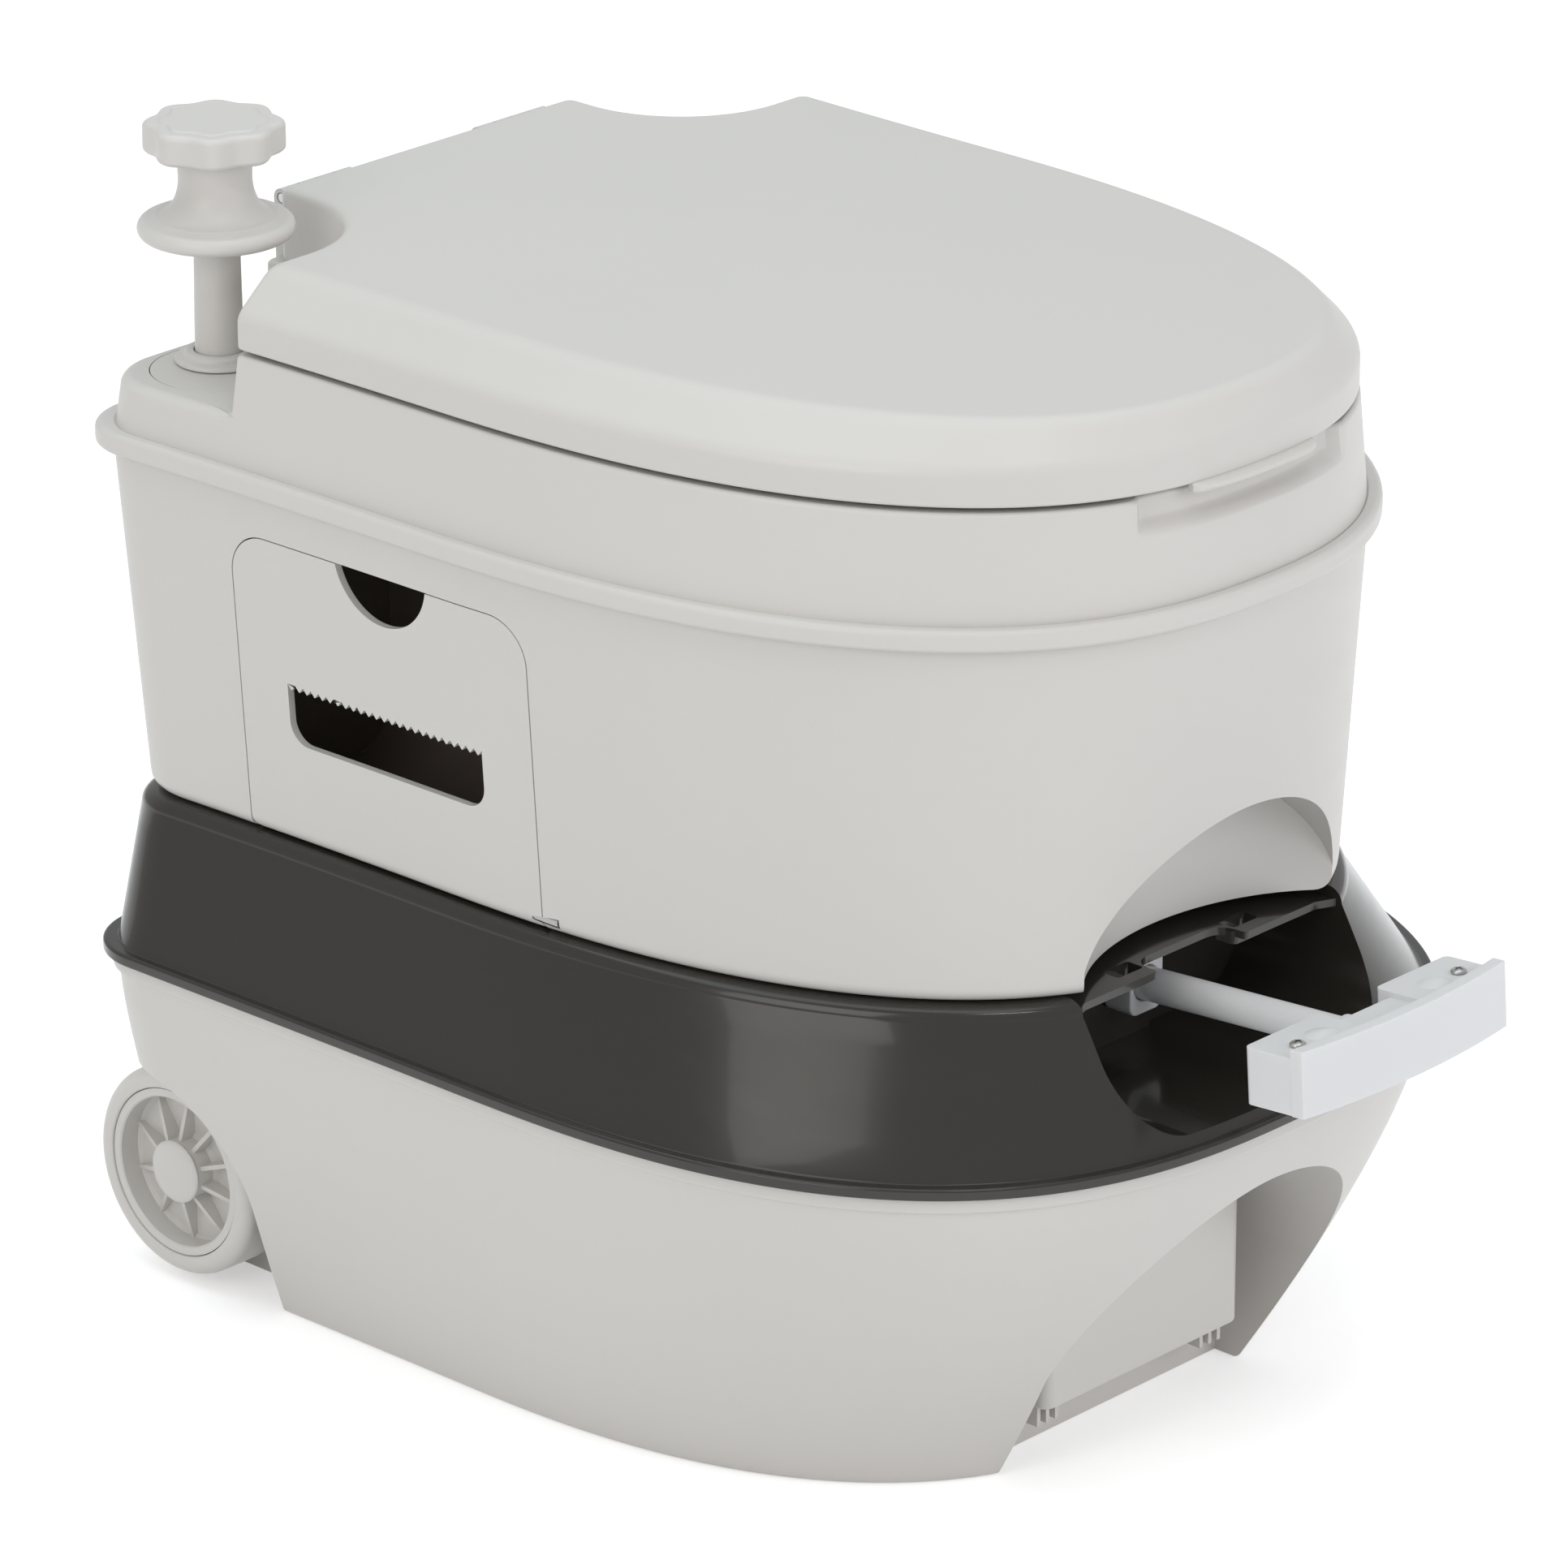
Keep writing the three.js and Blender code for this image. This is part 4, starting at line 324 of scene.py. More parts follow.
# A loop moved outward along its own normals.
def pushed(ring, distance):
    along = np.roll(ring, -1, 0) - np.roll(ring, 1, 0)
    along /= np.maximum(np.hypot(along[:, 0], along[:, 1]), 1e-9)[:, None]
    moved = ring.copy()
    moved[:, 0] += along[:, 1] * distance
    moved[:, 1] -= along[:, 0] * distance
    return moved


def ellipseRing(half, length, centreY, height, count=144):
    t = np.linspace(0, 2 * np.pi, count, endpoint=False) - np.pi / 2
    return atHeight(np.stack([half * np.cos(t), centreY + length * np.sin(t)], 1), height)


# An ellipse sampled at about the directions in which a loop's own points lie. So that they never turn back,
# as at a notch's corner, they are the mean of running highest and lowest values, a quarter spread evenly.
def ellipseAlong(loop, half, length, centreY, height):
    t = np.unwrap(np.arctan2((loop[:, 1] - centreY) / length, loop[:, 0] / half))
    way = 1 if t[-1] > t[0] else -1
    rising = t * way
    onward = (np.maximum.accumulate(rising) + np.minimum.accumulate(rising[::-1])[::-1]) / 2
    even = rising[0] + np.arange(len(loop)) * 2 * np.pi / len(loop)
    t = (0.75 * onward + 0.25 * even) * way
    return atHeight(np.stack([half * np.cos(t), centreY + length * np.sin(t)], 1), height)


# Solids

# A profile of (radius, height) turned about an axis through a place.
def turned(profile, place, axis="z", count=72, close=True):
    t = np.linspace(0, 2 * np.pi, count, endpoint=False)
    rings = []
    for radius, height in profile:
        across, up = (max(radius, 0.02) * wave for wave in (np.cos(t), np.sin(t)))
        level = np.full(count, float(height))
        ring = {"z": (across, up, level), "x": (level, across, up), "y": (up, level, across)}[axis]
        rings.append(np.stack(ring, 1) + place)
    return ringSolid(rings, loop=close)


def cylinder(radius, low, high, place, axis="y", count=32):
    return turned([(radius, low), (radius, high)], place, axis, count, close=False)


# A flat outline carried along X, Y or Z, as (first, second) coordinates in that axis's own plane.
def prism(path, low, high, axis="z"):
    a, b = np.asarray(path, float).T
    rings = []
    for level in (low, high):
        flat = np.full(len(a), float(level))
        rings.append(np.stack({"z": (a, b, flat), "x": (flat, a, b), "y": (a, flat, b)}[axis], 1))
    return ringSolid(rings)


def block(x0, x1, y0, y1, z0, z1):
    return prism([(x0, y0), (x1, y0), (x1, y1), (x0, y1)], z0, z1)


# An upright solid with one plan.
def slab(plan, low, high):
    return ringSolid([outline(plan, low), outline(plan, high)])


# A round cutter that opens a little at the face it enters by, so that the hole's lip is soft.
def holeCutter(radius, low, high, place, lip=0.5):
    return turned([
        (radius, low), (radius, high - lip), (radius + 0.3 * lip, high - 0.3 * lip), (radius + lip, high),
        (radius + lip, high + 6),
    ], place, "z", 72, close=False)


# Finishes: three node groups that every material places, then one material for each finish

# A node with its settings, and its inputs as values or as the sockets that feed them.
def addNode(tree, kind, inputs, **settings):
    node = tree.nodes.new("ShaderNode" + kind)
    for key, value in settings.items():
        setattr(node, key, value)
    for key, value in inputs.items():
        if isinstance(value, bpy.types.NodeSocket):
            tree.links.new(value, node.inputs[key])
        else:
            node.inputs[key].default_value = value
    return node


# A group with one output, which fill makes from the group's inputs and the object's own coordinates.
def nodeGroup(name, result, fill, **inputs):
    group = bpy.data.node_groups.new(name, "ShaderNodeTree")
    kinds = {True: "NodeSocketColor", False: "NodeSocketFloat"}
    for label, value in inputs.items():
        kind = kinds[isinstance(value, tuple)]
        group.interface.new_socket(name=label, in_out="INPUT", socket_type=kind).default_value = value
    group.interface.new_socket(name=result, in_out="OUTPUT", socket_type=kinds[result == "Color"])
    given, outer = group.nodes.new("NodeGroupInput").outputs, group.nodes.new("NodeGroupOutput")
    place = addNode(group, "TexCoord", {}).outputs["Object"]
    group.links.new(fill(group, given, place), outer.inputs[result])
    return group


# Cloudy tone: noise moves the colour a little lighter or darker, and a share of it warmer.
def toneNodes(group, given, place):
    noise = {"Vector": place, "Scale": given["Scale"], "Detail": 5, "Roughness": 0.55}
    cloud = addNode(group, "TexNoise", noise).outputs["Fac"]
    centred = addNode(group, "Math", {0: cloud, 1: 2, 2: -1}, operation="MULTIPLY_ADD").outputs[0]
    swing = addNode(
        group, "Math", {0: centred, 1: given["Amount"], 2: 1}, operation="MULTIPLY_ADD",
    ).outputs[0]
    toned = addNode(group, "HueSaturation", {"Color": given["Color"], "Value": swing}).outputs["Color"]
    share = addNode(group, "Math", {0: cloud, 1: given["Warmth"]}, operation="MULTIPLY", use_clamp=True)
    colours = {"Factor": share.outputs[0], "A": toned, "B": (1, 0.93, 0.84, 1)}
    return addNode(group, "Mix", colours, data_type="RGBA", blend_type="MULTIPLY").outputs["Result"]


# Moulded skin: a fine spark-eroded grain and a slow sink of the wall, as heights in millimetres.
def grainNodes(group, given, place):
    scale = addNode(group, "Math", {0: 1000, 1: given["Size"]}, operation="DIVIDE").outputs[0]
    noise = {"Vector": place, "Scale": scale, "Detail": 3, "Roughness": 0.6}
    fine = addNode(group, "TexNoise", noise).outputs["Fac"]
    slow = addNode(group, "TexNoise", {"Vector": place, "Scale": 9, "Detail": 1}).outputs["Fac"]
    grain = addNode(group, "Math", {0: fine, 1: given["Grain"]}, operation="MULTIPLY").outputs[0]
    return addNode(group, "Math", {0: slow, 1: given["Sink"], 2: grain}, operation="MULTIPLY_ADD").outputs[0]


# Rubbed skin: thin scuffs from stretched noise raise the roughness where the hand or floor rubs.
def scuffNodes(group, given, place):
    stretch = addNode(group, "Mapping", {"Vector": place, "Scale": (1, 1, 3.5), "Rotation": (0.3, 0.2, 0.5)})
    noise = {"Vector": stretch.outputs["Vector"], "Scale": given["Scale"], "Detail": 6, "Roughness": 0.65}
    scuff = addNode(group, "TexNoise", noise).outputs["Fac"]
    mask = addNode(group, "MapRange", {"Value": scuff, "From Min": 0.45, "From Max": 0.75}).outputs["Result"]
    values = {0: mask, 1: given["Spread"], 2: given["Base"]}
    return addNode(group, "Math", values, operation="MULTIPLY_ADD", use_clamp=True).outputs[0]


groups = Sizes(
    tone=nodeGroup(
        "cloudyTone", "Color", toneNodes, Color=(0.8, 0.8, 0.8, 1), Amount=0.04, Scale=12.0, Warmth=0.02,
    ),
    grain=nodeGroup("mouldedGrain", "Height", grainNodes, Grain=0.02, Size=1.2, Sink=0.05),
    scuff=nodeGroup("handScuffs", "Roughness", scuffNodes, Base=0.4, Spread=0.08, Scale=30.0),
)


def toLinear(colour):
    shares = [v / 255 for v in colour]
    return tuple(c / 12.92 if c <= 0.04045 else ((c + 0.055) / 1.055) ** 2.4 for c in shares)


def moulded(name, look):
    material = bpy.data.materials.new(name)
    material.use_nodes = True
    tree = material.node_tree
    shader = tree.nodes["Principled BSDF"]
    tone = addNode(tree, "Group", dict(
        Color=(*toLinear(look.colour), 1), Amount=look.cloud, Scale=look.cloudScale, Warmth=look.warmth,
    ), node_tree=groups.tone)
    grain = addNode(tree, "Group", dict(
        Grain=look.grain, Size=look.grainSize, Sink=look.sink,
    ), node_tree=groups.grain)
    scuff = addNode(tree, "Group", dict(
        Base=look.rough, Spread=look.roughSpread, Scale=look.scuffScale,
    ), node_tree=groups.scuff)
    bump = addNode(tree, "Bump", dict(Strength=look.bump, Distance=0.001, Height=grain.outputs["Height"]))
    tree.links.new(tone.outputs["Color"], shader.inputs["Base Color"])
    tree.links.new(scuff.outputs["Roughness"], shader.inputs["Roughness"])
    tree.links.new(bump.outputs["Normal"], shader.inputs["Normal"])
    shader.inputs["Metallic"].default_value = look.metal
    shader.inputs["IOR"].default_value = look.ior
    shader.inputs["Coat Weight"].default_value = look.coat
    shader.inputs["Coat Roughness"].default_value = look.coatRough
    if look.glow:
        shader.inputs["Subsurface Weight"].default_value = look.glow
        shader.inputs["Subsurface Radius"].default_value = (1, 0.9, 0.8)
        shader.inputs["Subsurface Scale"].default_value = 0.004
    return material


plain = Sizes(
    cloud=0.02, cloudScale=9.0, warmth=0.05, grain=0.03, grainSize=1.1, sink=0.25, rough=0.36,
    roughSpread=0.07, scuffScale=26.0, bump=0.35, metal=0, ior=1.47, coat=0, coatRough=0.1, glow=0,
)
looks = dict(
    pale_plastic=Sizes(plain, colour=(210, 207, 203)),
    dark_plastic=Sizes(
        plain, colour=(47, 44, 40), cloud=0.05, rough=0.17, roughSpread=0.06, grain=0.006, sink=0.1, ior=1.42,
        coat=0.3, coatRough=0.06,
    ),
    white_plastic=Sizes(plain, colour=(220, 221, 222), warmth=0.0, rough=0.32, glow=0.25, sink=0.12),
    inner_plastic=Sizes(plain, colour=(112, 103, 95), rough=0.5, cloud=0.06),
    steel=Sizes(
        plain, colour=(196, 196, 194), metal=1.0, rough=0.26, grain=0.01, grainSize=0.5, sink=0, cloud=0.05,
        warmth=0.1, ior=2.5,
    ),
    rubber=Sizes(plain, colour=(38, 38, 38), rough=0.72, grain=0.05, cloud=0.12, warmth=0.0),
)
finishes = {name: moulded(name, look) for name, look in looks.items()}
print("finishes", sorted(finishes))

# Plans of each level, all from the belt's own
beltPlan = body
tankHeadPlan = shrink(beltPlan, 4.6)
tankFootPlan = shrink(beltPlan, 14, 11, 10)
deckFootPlan = shrink(beltPlan, 5.2)
deckHeadPlan = shrink(deckFootPlan, 7.5, 1.5, 1.5)
lidSkirtPlan = shrink(deckHeadPlan, 0.3, 0.3, 15.5 - 5.2 - 1.5)
lidTopPlan = shrink(lidSkirtPlan, 18.6, 8.2, 0)
lipPlan = Sizes(shrink(beltPlan, -16, -15.6, 9), flare=1.4, widest=-16.0, corner=31.0, power=2.62)
shoulderPlan = shrink(tankFootPlan, -3.6, -3.6, -1.6)

# Hinge: pins along X, with the lid's arms, the seat's arms and the deck's ears side by side
hinge = Sizes(
    y=195.0, z=412.5, barrel=3.7, bore=2.1, width=9.0, seatX=43.3, lidX=52.6, earX=(34.0, 61.9), earHalf=3.3,
    lidRoot=187.2, slot=(182.5, 230, 380, 417),
)


# An arm about the hinge, from the points below its barrel to those above it.
def hingeArm(ends, below, above):
    path = np.concatenate([
        below, [(hinge.y, hinge.z - hinge.barrel)], arc(hinge.y, hinge.z, hinge.barrel, -88, 88, 24), above,
    ])
    return prism(path, *ends, "x")


def pinBore():
    return cylinder(hinge.bore, -200, 200, (0, hinge.y, hinge.z), "x", 24)


# Lid: a skirt, a wide chamfer and a flat top, with both rear corners notched, open below
lidSizes = Sizes(
    wall=3.0, creaseRun=3.0, creaseShare=0.2, topShare=0.26, topSoft=4.0, rimSoft=1.2, lipHalf=33.0,
    lipThick=2.8,
)


def lidShell():
    wall, radius = lidSizes.wall, notch.radius
    chamfer = levels.top - levels.crease
    inner = shrink(lidSkirtPlan, wall)
    rings = [
        outline(shrink(lidTopPlan, wall), levels.top - wall, radius + wall),
        outline(inner, levels.crease - 1, radius + wall),
        outline(inner, levels.rim + 0.3, radius + wall),
    ]
    rings += softFoot(lidSkirtPlan, levels.rim, lidSizes.rimSoft, 4, radius)
    # Both long edges are parabolas that leave one face and end on the next.
    for t in np.linspace(0, 1, 8):
        share = lidSizes.creaseShare * t ** 2
        level = levels.crease - lidSizes.creaseRun * (1 - t) ** 2 + share * chamfer
        rings.append(outline(mix(lidSkirtPlan, lidTopPlan, share), level, radius))
    for t in np.linspace(0, 1, 9):
        share, run = lidSizes.topShare * (1 - t) ** 2, lidSizes.topSoft * t ** 2
        plan = shrink(mix(lidSkirtPlan, lidTopPlan, 1 - share), run)
        rings.append(outline(plan, levels.top - share * chamfer, radius + run))
    return ringSolid(rings)


# A finger lip follows the nose below the lid's front, fading at both ends.
def lidLip():
    path = nosePath(lidSkirtPlan, 600)
    path = path[path[:, 0] <= lidSizes.lipHalf]
    path = evenly(np.concatenate([path[::-1] * (-1, 1), path[1:]]), 60)
    fade = np.sqrt(np.clip(1 - np.abs(path[:, 0] / lidSizes.lipHalf) ** 6, 0, 1))
    along = np.gradient(path, axis=0)
    along /= np.hypot(*along.T)[:, None]
    out = np.stack([along[:, 1], -along[:, 0]], 1)
    low = levels.rim - lidSizes.lipThick
    rings = []
    for reach, height in (
        (-2.2, 0.4), (0, 0), (3.2, 0), (4.0, 0.7), (4.2, 1.4), (3.8, 2.3), (1.5, 3.1), (-2.2, 3.6),
    ):
        push = reach * (fade if reach > 0 else np.ones(len(path)))
        rings.append(atHeight(path + out * push[:, None], low + height))
    return ringSolid(list(np.array(rings).transpose(1, 0, 2)))


lid = lidShell()
armLow, armHigh = hinge.z - hinge.barrel, hinge.z + hinge.barrel
for sign in (-1, 1):
    cut(lid, block(*onSide(sign, hinge.seatX - 0.5, hinge.seatX + hinge.width + 0.15), *hinge.slot))
    ends = onSide(sign, hinge.lidX, hinge.lidX + hinge.width)
    join(lid, hingeArm(ends, [(hinge.lidRoot, armLow)], [(hinge.y, armHigh), (hinge.lidRoot, armHigh)]))
cut(join(lid, lidLip()), pinBore())
finishPiece(lid, "lidPanel", "lid", ["lid"])
print("lid", len(lid.data.polygons))

# Seat ring: a soft-edged ring with an oval hole and two arms to the hinge
seat = Sizes(
    foot=393.0, top=402.5, soft=3.4, side=5.0, rear=15.5, notch=54.0, holeHalf=100.0, holeLength=117.0,
    centreY=-30.0, edge=1.5, armRoot=163.5, armBend=173.0,
)


def seatRing():
    plan = shrink(lidSkirtPlan, seat.side, seat.side, seat.rear)
    loop = outline(plan, 0, seat.notch)
    soft, edge = seat.soft, seat.edge

    def hole(margin, height):
        return ellipseAlong(loop, seat.holeHalf + margin, seat.holeLength + margin, seat.centreY, height)

    # Rings between two others keep the faces of a level surface short and even.
    def between(start, end):
        return [start + (end - start) * share for share in (0.2, 0.4, 0.6, 0.8)]

    rings = [hole(0, seat.foot + soft), hole(edge, seat.foot)]
    footEdge = outline(shrink(plan, edge), seat.foot, seat.notch + edge)
    rings += [*between(rings[-1], footEdge), footEdge, outline(plan, seat.foot + edge, seat.notch)]
    rings += softTop(plan, seat.top, soft, 6, seat.notch)
    rings += between(rings[-1], hole(soft, seat.top))
    rings += [hole(run, seat.top - soft + rise) for run, rise in quarter(soft, soft, 6)[::-1]]
    return ringSolid(rings, loop=True)


seatPiece = seatRing()
for sign in (-1, 1):
    join(seatPiece, hingeArm(
        onSide(sign, hinge.seatX, hinge.seatX + hinge.width),
        [(seat.armRoot, seat.foot + 3), (seat.armBend, seat.foot + 3)],
        [(seat.armBend, armHigh - 0.4), (seat.armRoot, seat.top - 0.5)],
    ))
cut(seatPiece, pinBore())
finishPiece(seatPiece, "seatFrame", "seat", ["seat_ring"])
print("seat", len(seatPiece.data.polygons))

# Upper deck: belt, low pads round the pump and the filler, seat platform and hinge ears in one moulding
deck = Sizes(
    wall=3.0, lowSoft=2.2, highSoft=2.4, wallFoot=345.4, padSoft=4.0, padWall=5.7, fade=8.0, topSoft=1.8,
    fillet=1.6, step=0.05, bowlHalf=108.9, bowlLength=126.9, bowlY=-30.0, holeSoft=1.0, coverRadius=35.4,
    coverDepth=2.7, coverEdge=4.7, rodWay=12.0, fillerWay=21.3, fingerHalf=54.0, fingerRamp=6.0,
    fingerDepth=6.0, fingerLow=375.5,
)


def deckPlan(height):
    return mix(deckFootPlan, deckHeadPlan, (height - deck.wallFoot) / (levels.platform - deck.wallFoot))


# The finger recess: the front wall moves back within it, over a ramp at its foot and both ends.
def recessed(ring, low):
    climb = eased((ring[:, 2] - low) / deck.fingerRamp)
    within = eased((deck.fingerHalf - np.abs(ring[:, 0])) / deck.fingerRamp + 0.5) * (ring[:, 1] < 0)
    return pushed(ring, -deck.fingerDepth * climb * within)


# One at the rear corners, falling to nothing along the side and along the rear.
def cornerWeight(ring):
    inner = notch.radius + notch.soft
    alongSide = eased((ring[:, 1] - (pumpY - inner)) / deck.fade)
    return alongSide * eased((np.abs(ring[:, 0]) - (pumpX - inner)) / deck.fade)


def deckShell():
    radius, wall, top = notch.radius, deck.wall, levels.platform
    rings = softFoot(beltPlan, levels.beltLow, deck.lowSoft, 6)
    rings += softTop(beltPlan, levels.beltHigh, deck.highSoft, 6)
    rings.append(outline(shrink(beltPlan, 4.9), levels.beltHigh - 0.1))
    rings.append(outline(shrink(beltPlan, 5.5), levels.beltHigh - 0.7))
    rings += [outline(deckPlan(z), z) for z in (350.2, 356.0, levels.pad - deck.padSoft)]
    for run, rise in quarter(deck.padSoft, deck.padSoft, 7)[1:]:
        height = levels.pad - deck.padSoft + rise
        ring = outline(deckPlan(height), height)
        rings.append(pushed(ring, -run * cornerWeight(ring)))
    # The step keeps two rings apart where they run along the same straight edge.
    for run, rise in quarter(deck.fillet, deck.fillet - deck.step, 5)[::-1]:
        height = levels.pad + deck.fillet - rise
        rings.append(outline(deckPlan(height), height, radius - run))
    for height in (372.0, *np.arange(deck.fingerLow, deck.fingerLow + 7, 1.0), 384.6, top - deck.topSoft):
        rings.append(recessed(outline(deckPlan(height), height, radius), deck.fingerLow))
    for run, rise in quarter(deck.topSoft, deck.topSoft, 6)[1:]:
        height = top - deck.topSoft + rise
        rings.append(recessed(outline(shrink(deckPlan(height), run), height, radius + run), deck.fingerLow))
    edge = rings[-1]

    def hole(margin, height):
        return ellipseAlong(edge, deck.bowlHalf + margin, deck.bowlLength + margin, deck.bowlY, height)

    rings += [
        hole(run, top - deck.holeSoft + rise) for run, rise in quarter(deck.holeSoft, deck.holeSoft, 4)[::-1]
    ]
    rings.append(hole(0, top - wall))
    padFoot = levels.pad - deck.padWall
    for height in (top - wall, 383.0, *np.arange(deck.fingerLow + 3, deck.fingerLow - 4, -1.5), padFoot):
        ring = outline(shrink(deckPlan(height), wall), height, radius + wall)
        rings.append(recessed(ring, deck.fingerLow - wall))
    rings += [outline(shrink(deckPlan(z), wall), z) for z in (padFoot - deck.step, deck.wallFoot)]
    socket = shrink(tankHeadPlan, -0.3)
    rings += [outline(socket, z) for z in (deck.wallFoot, levels.beltLow)]
    return ringSolid(rings, loop=True)


deckPiece = deckShell()
earPath = np.concatenate([
    [(hinge.y - hinge.earHalf, levels.platform - 2), (hinge.y + hinge.earHalf, levels.platform - 2)],
    arc(hinge.y, hinge.z, hinge.barrel, 0, 180, 24),
])
for sign in (-1, 1):
    for x0 in hinge.earX:
        join(deckPiece, prism(earPath, *onSide(sign, x0, x0 + hinge.width), "x"))
coverWay = keep(
    holeCutter(deck.coverRadius, levels.pad - deck.coverDepth, levels.pad, pumpPlace, 0.35),
    slab(shrink(deckHeadPlan, deck.coverEdge), 350, 380),
)
cut(
    deckPiece, pinBore(), coverWay, holeCutter(deck.rodWay, 350, levels.pad, pumpPlace),
    holeCutter(deck.fillerWay, 350, levels.pad, fillerPlace, 0.6),
)
finishPiece(deckPiece, "upperDeckShell", "upper_unit", ["upper_deck"])
print("deck", len(deckPiece.data.polygons))

# Cover plate round the pump: let into the pad, with a fine line round it
coverPiece = turned([
    (deck.rodWay, 364.6), (35.1, 364.6), (35.1, 366.45), (34.95, 366.8), (34.6, 366.98),
    (deck.rodWay + 0.6, 367.0), (deck.rodWay, 366.4),
], pumpPlace, "z", 96)
keep(coverPiece, slab(shrink(deckHeadPlan, 5.0), 350, 380))
finishPiece(coverPiece, "pumpCover", "upper_unit", ["pump_cover_plate"])

# Collar: two steps with soft edges
collarPiece = turned([
    (9.7, 367.3), (16.4, 367.3), (16.8, 367.6), (16.8, 368.4), (16.3, 369.0), (14.2, 369.4), (13.5, 369.8),
    (13.4, 370.6), (12.9, 371.4), (11.8, 371.85), (10.2, 371.9), (9.7, 371.6),
], pumpPlace, "z", 64)
finishPiece(collarPiece, "pumpCollar", "upper_unit", ["pump_collar"], angle=50)

# Pump rod, a little thinner towards its head
rodPiece = turned([(9.2, 297.0), (9.2, 372.0), (8.7, 412.0), (8.7, 415.7)], pumpPlace, "z", 48, close=False)
finishPiece(rodPiece, "pumpRod", "pump", ["pump_rod"])

# Spool: a broad soft rim below and a waist that widens into it
spool = Sizes(foot=416.0, rim=29.5, rimSoft=3.2, rimHeight=7.0, waist=13.8, head=447.7, neckShare=0.62)


def spoolProfile():
    foot, rim, soft, waist = spool.foot, spool.rim, spool.rimSoft, spool.waist
    profile = [(9.0, foot + 0.8), (rim - 5.0, foot + 0.8), (rim - 4.4, foot)]
    half = spool.rimHeight / 2
    for angle in np.radians(np.linspace(-90, 90, 13)):
        profile.append((rim - soft + soft * math.cos(angle), foot + half + half * math.sin(angle)))
    low = foot + spool.rimHeight + 1.2
    profile.append((rim - soft - 2.4, foot + spool.rimHeight + 0.25))
    # The neck: a quarter ellipse from the rim's top to the waist.
    run, rise = rim - soft - 3.4 - waist, (spool.head - low) * spool.neckShare
    for t in np.linspace(0, np.pi / 2, 16):
        profile.append((waist + run * (1 - math.sin(t)), low + rise * (1 - math.cos(t))))
    return profile + [(waist + 0.1, spool.head - 5), (waist + 0.6, spool.head)]


spoolPiece = turned(spoolProfile(), pumpPlace, "z", 80, close=False)
finishPiece(spoolPiece, "pumpSpool", "pump", ["pump_spool"], angle=50)

# Knob cap: eight lobes, and a fine line round the top with a flat panel inside it
knob = Sizes(
    foot=448.0, height=13.0, radius=25.2, lobe=1.3, lobes=8, lowRun=4.16, lowSoft=2.6, highSoft=2.4,
    line=19.4, lineDepth=0.5, panel=17.6,
)


def lobed(radius, height, lobe=knob.lobe, count=144):
    t = np.linspace(0, 2 * np.pi, count, endpoint=False)
    reach = radius + lobe * np.cos(knob.lobes * t)
    return atHeight(np.stack([reach * np.cos(t) - pumpX, reach * np.sin(t) + pumpY], 1), height)


def knobCap():
    foot, radius, line, soft = knob.foot, knob.radius, knob.line, knob.highSoft
    top, groove = foot + knob.height, foot + knob.height - knob.lineDepth
    rings = [lobed(14.6, foot, 0)]
    rings += [
        lobed(radius - run, foot + knob.lowSoft - rise)
        for run, rise in quarter(knob.lowRun, knob.lowSoft, 7)[::-1]
    ]
    rings += [lobed(radius - run, top - soft + rise - 0.25) for run, rise in quarter(soft, soft, 8)]
    rings += [lobed(*ring) for ring in (
        (line + 0.75, top - 0.2, 1.2), (line + 0.45, top - 0.3, 1.2), (line + 0.2, groove, 1.2),
        (line - 0.2, groove, 1.2), (line - 0.5, top - 0.2, 1.2), (line - 0.9, top, 1.2),
        (knob.panel, top, 1.1), (9.0, top, 0.2), (1.0, top, 0),
    )]
    return ringSolid(rings)


knobPiece = knobCap()
finishPiece(knobPiece, "pumpKnob", "pump", ["pump_knob_cap"], angle=50)
print("pump", len(knobPiece.data.polygons))

# Fresh-water tank: a rounded foot, a hollow open at the top, the arch over the handle and the door's opening
tank = Sizes(
    wall=3.0, footSoft=6.0, under=25.5, floorTop=211.6, archHalf=70.0, archHeight=57.5, bowlHalf=83.0,
    bowlDepth=61.0, bowlY=-242.7, archSoft=3.2, footHalf=71.5, footBack=-164.5, outlet=31.3, outletY=-48.0,
)
door = Sizes(
    low=-25.0, high=124.0, foot=203.6, top=323.6, corner=17.0, footCorner=5.0, gap=0.5, wall=3.0,
    notchY=46.5, notchZ=328.1, notchRadius=23.5, slotLow=244.1, slotHigh=268.1, slotY=(-0.5, 99.5),
    slotCorner=9.0, teeth=25, tooth=2.2, pin=(-155.4, 0, 207.6), bore=2.3, eye=3.8, eyeLength=14.0,
    bossLength=8.0, inner=-144.4,
)


def tankPlan(height):
    return mix(tankFootPlan, tankHeadPlan, (height - levels.floor) / (levels.tankHead - levels.floor))


# The tank's outer form, or its core within a margin.
def tankSolid(margin=0.0):
    rings = softFoot(shrink(tankFootPlan, margin), levels.foot, tank.footSoft, 7)
    heights = np.linspace(levels.floor + 4, levels.tankHead, 6)
    return ringSolid(rings + [outline(shrink(tankPlan(z), margin), z) for z in heights])


# The arch across the tank: a foot line and half an ellipse, kept within an oval tower and grown by a margin.
def archSpace(margin):
    t = np.linspace(0, np.pi, 48)
    half, height = tank.archHalf + margin, tank.archHeight + margin
    over = np.stack([half * np.cos(t), levels.foot + height * np.sin(t)], 1)
    space = prism(np.concatenate([[(-half, 190.0), (half, 190.0)], over]), -300, 0, "y")
    return keep(space, ringSolid([
        ellipseRing(tank.bowlHalf + margin, tank.bowlDepth + margin, tank.bowlY, z, 160)
        for z in (188.0, levels.foot + height + 5)
    ]))


def doorPath(margin, foot):
    return rectanglePath(
        door.low - margin, door.high + margin, foot, door.top + margin, door.footCorner,
        door.corner + margin, 14,
    )


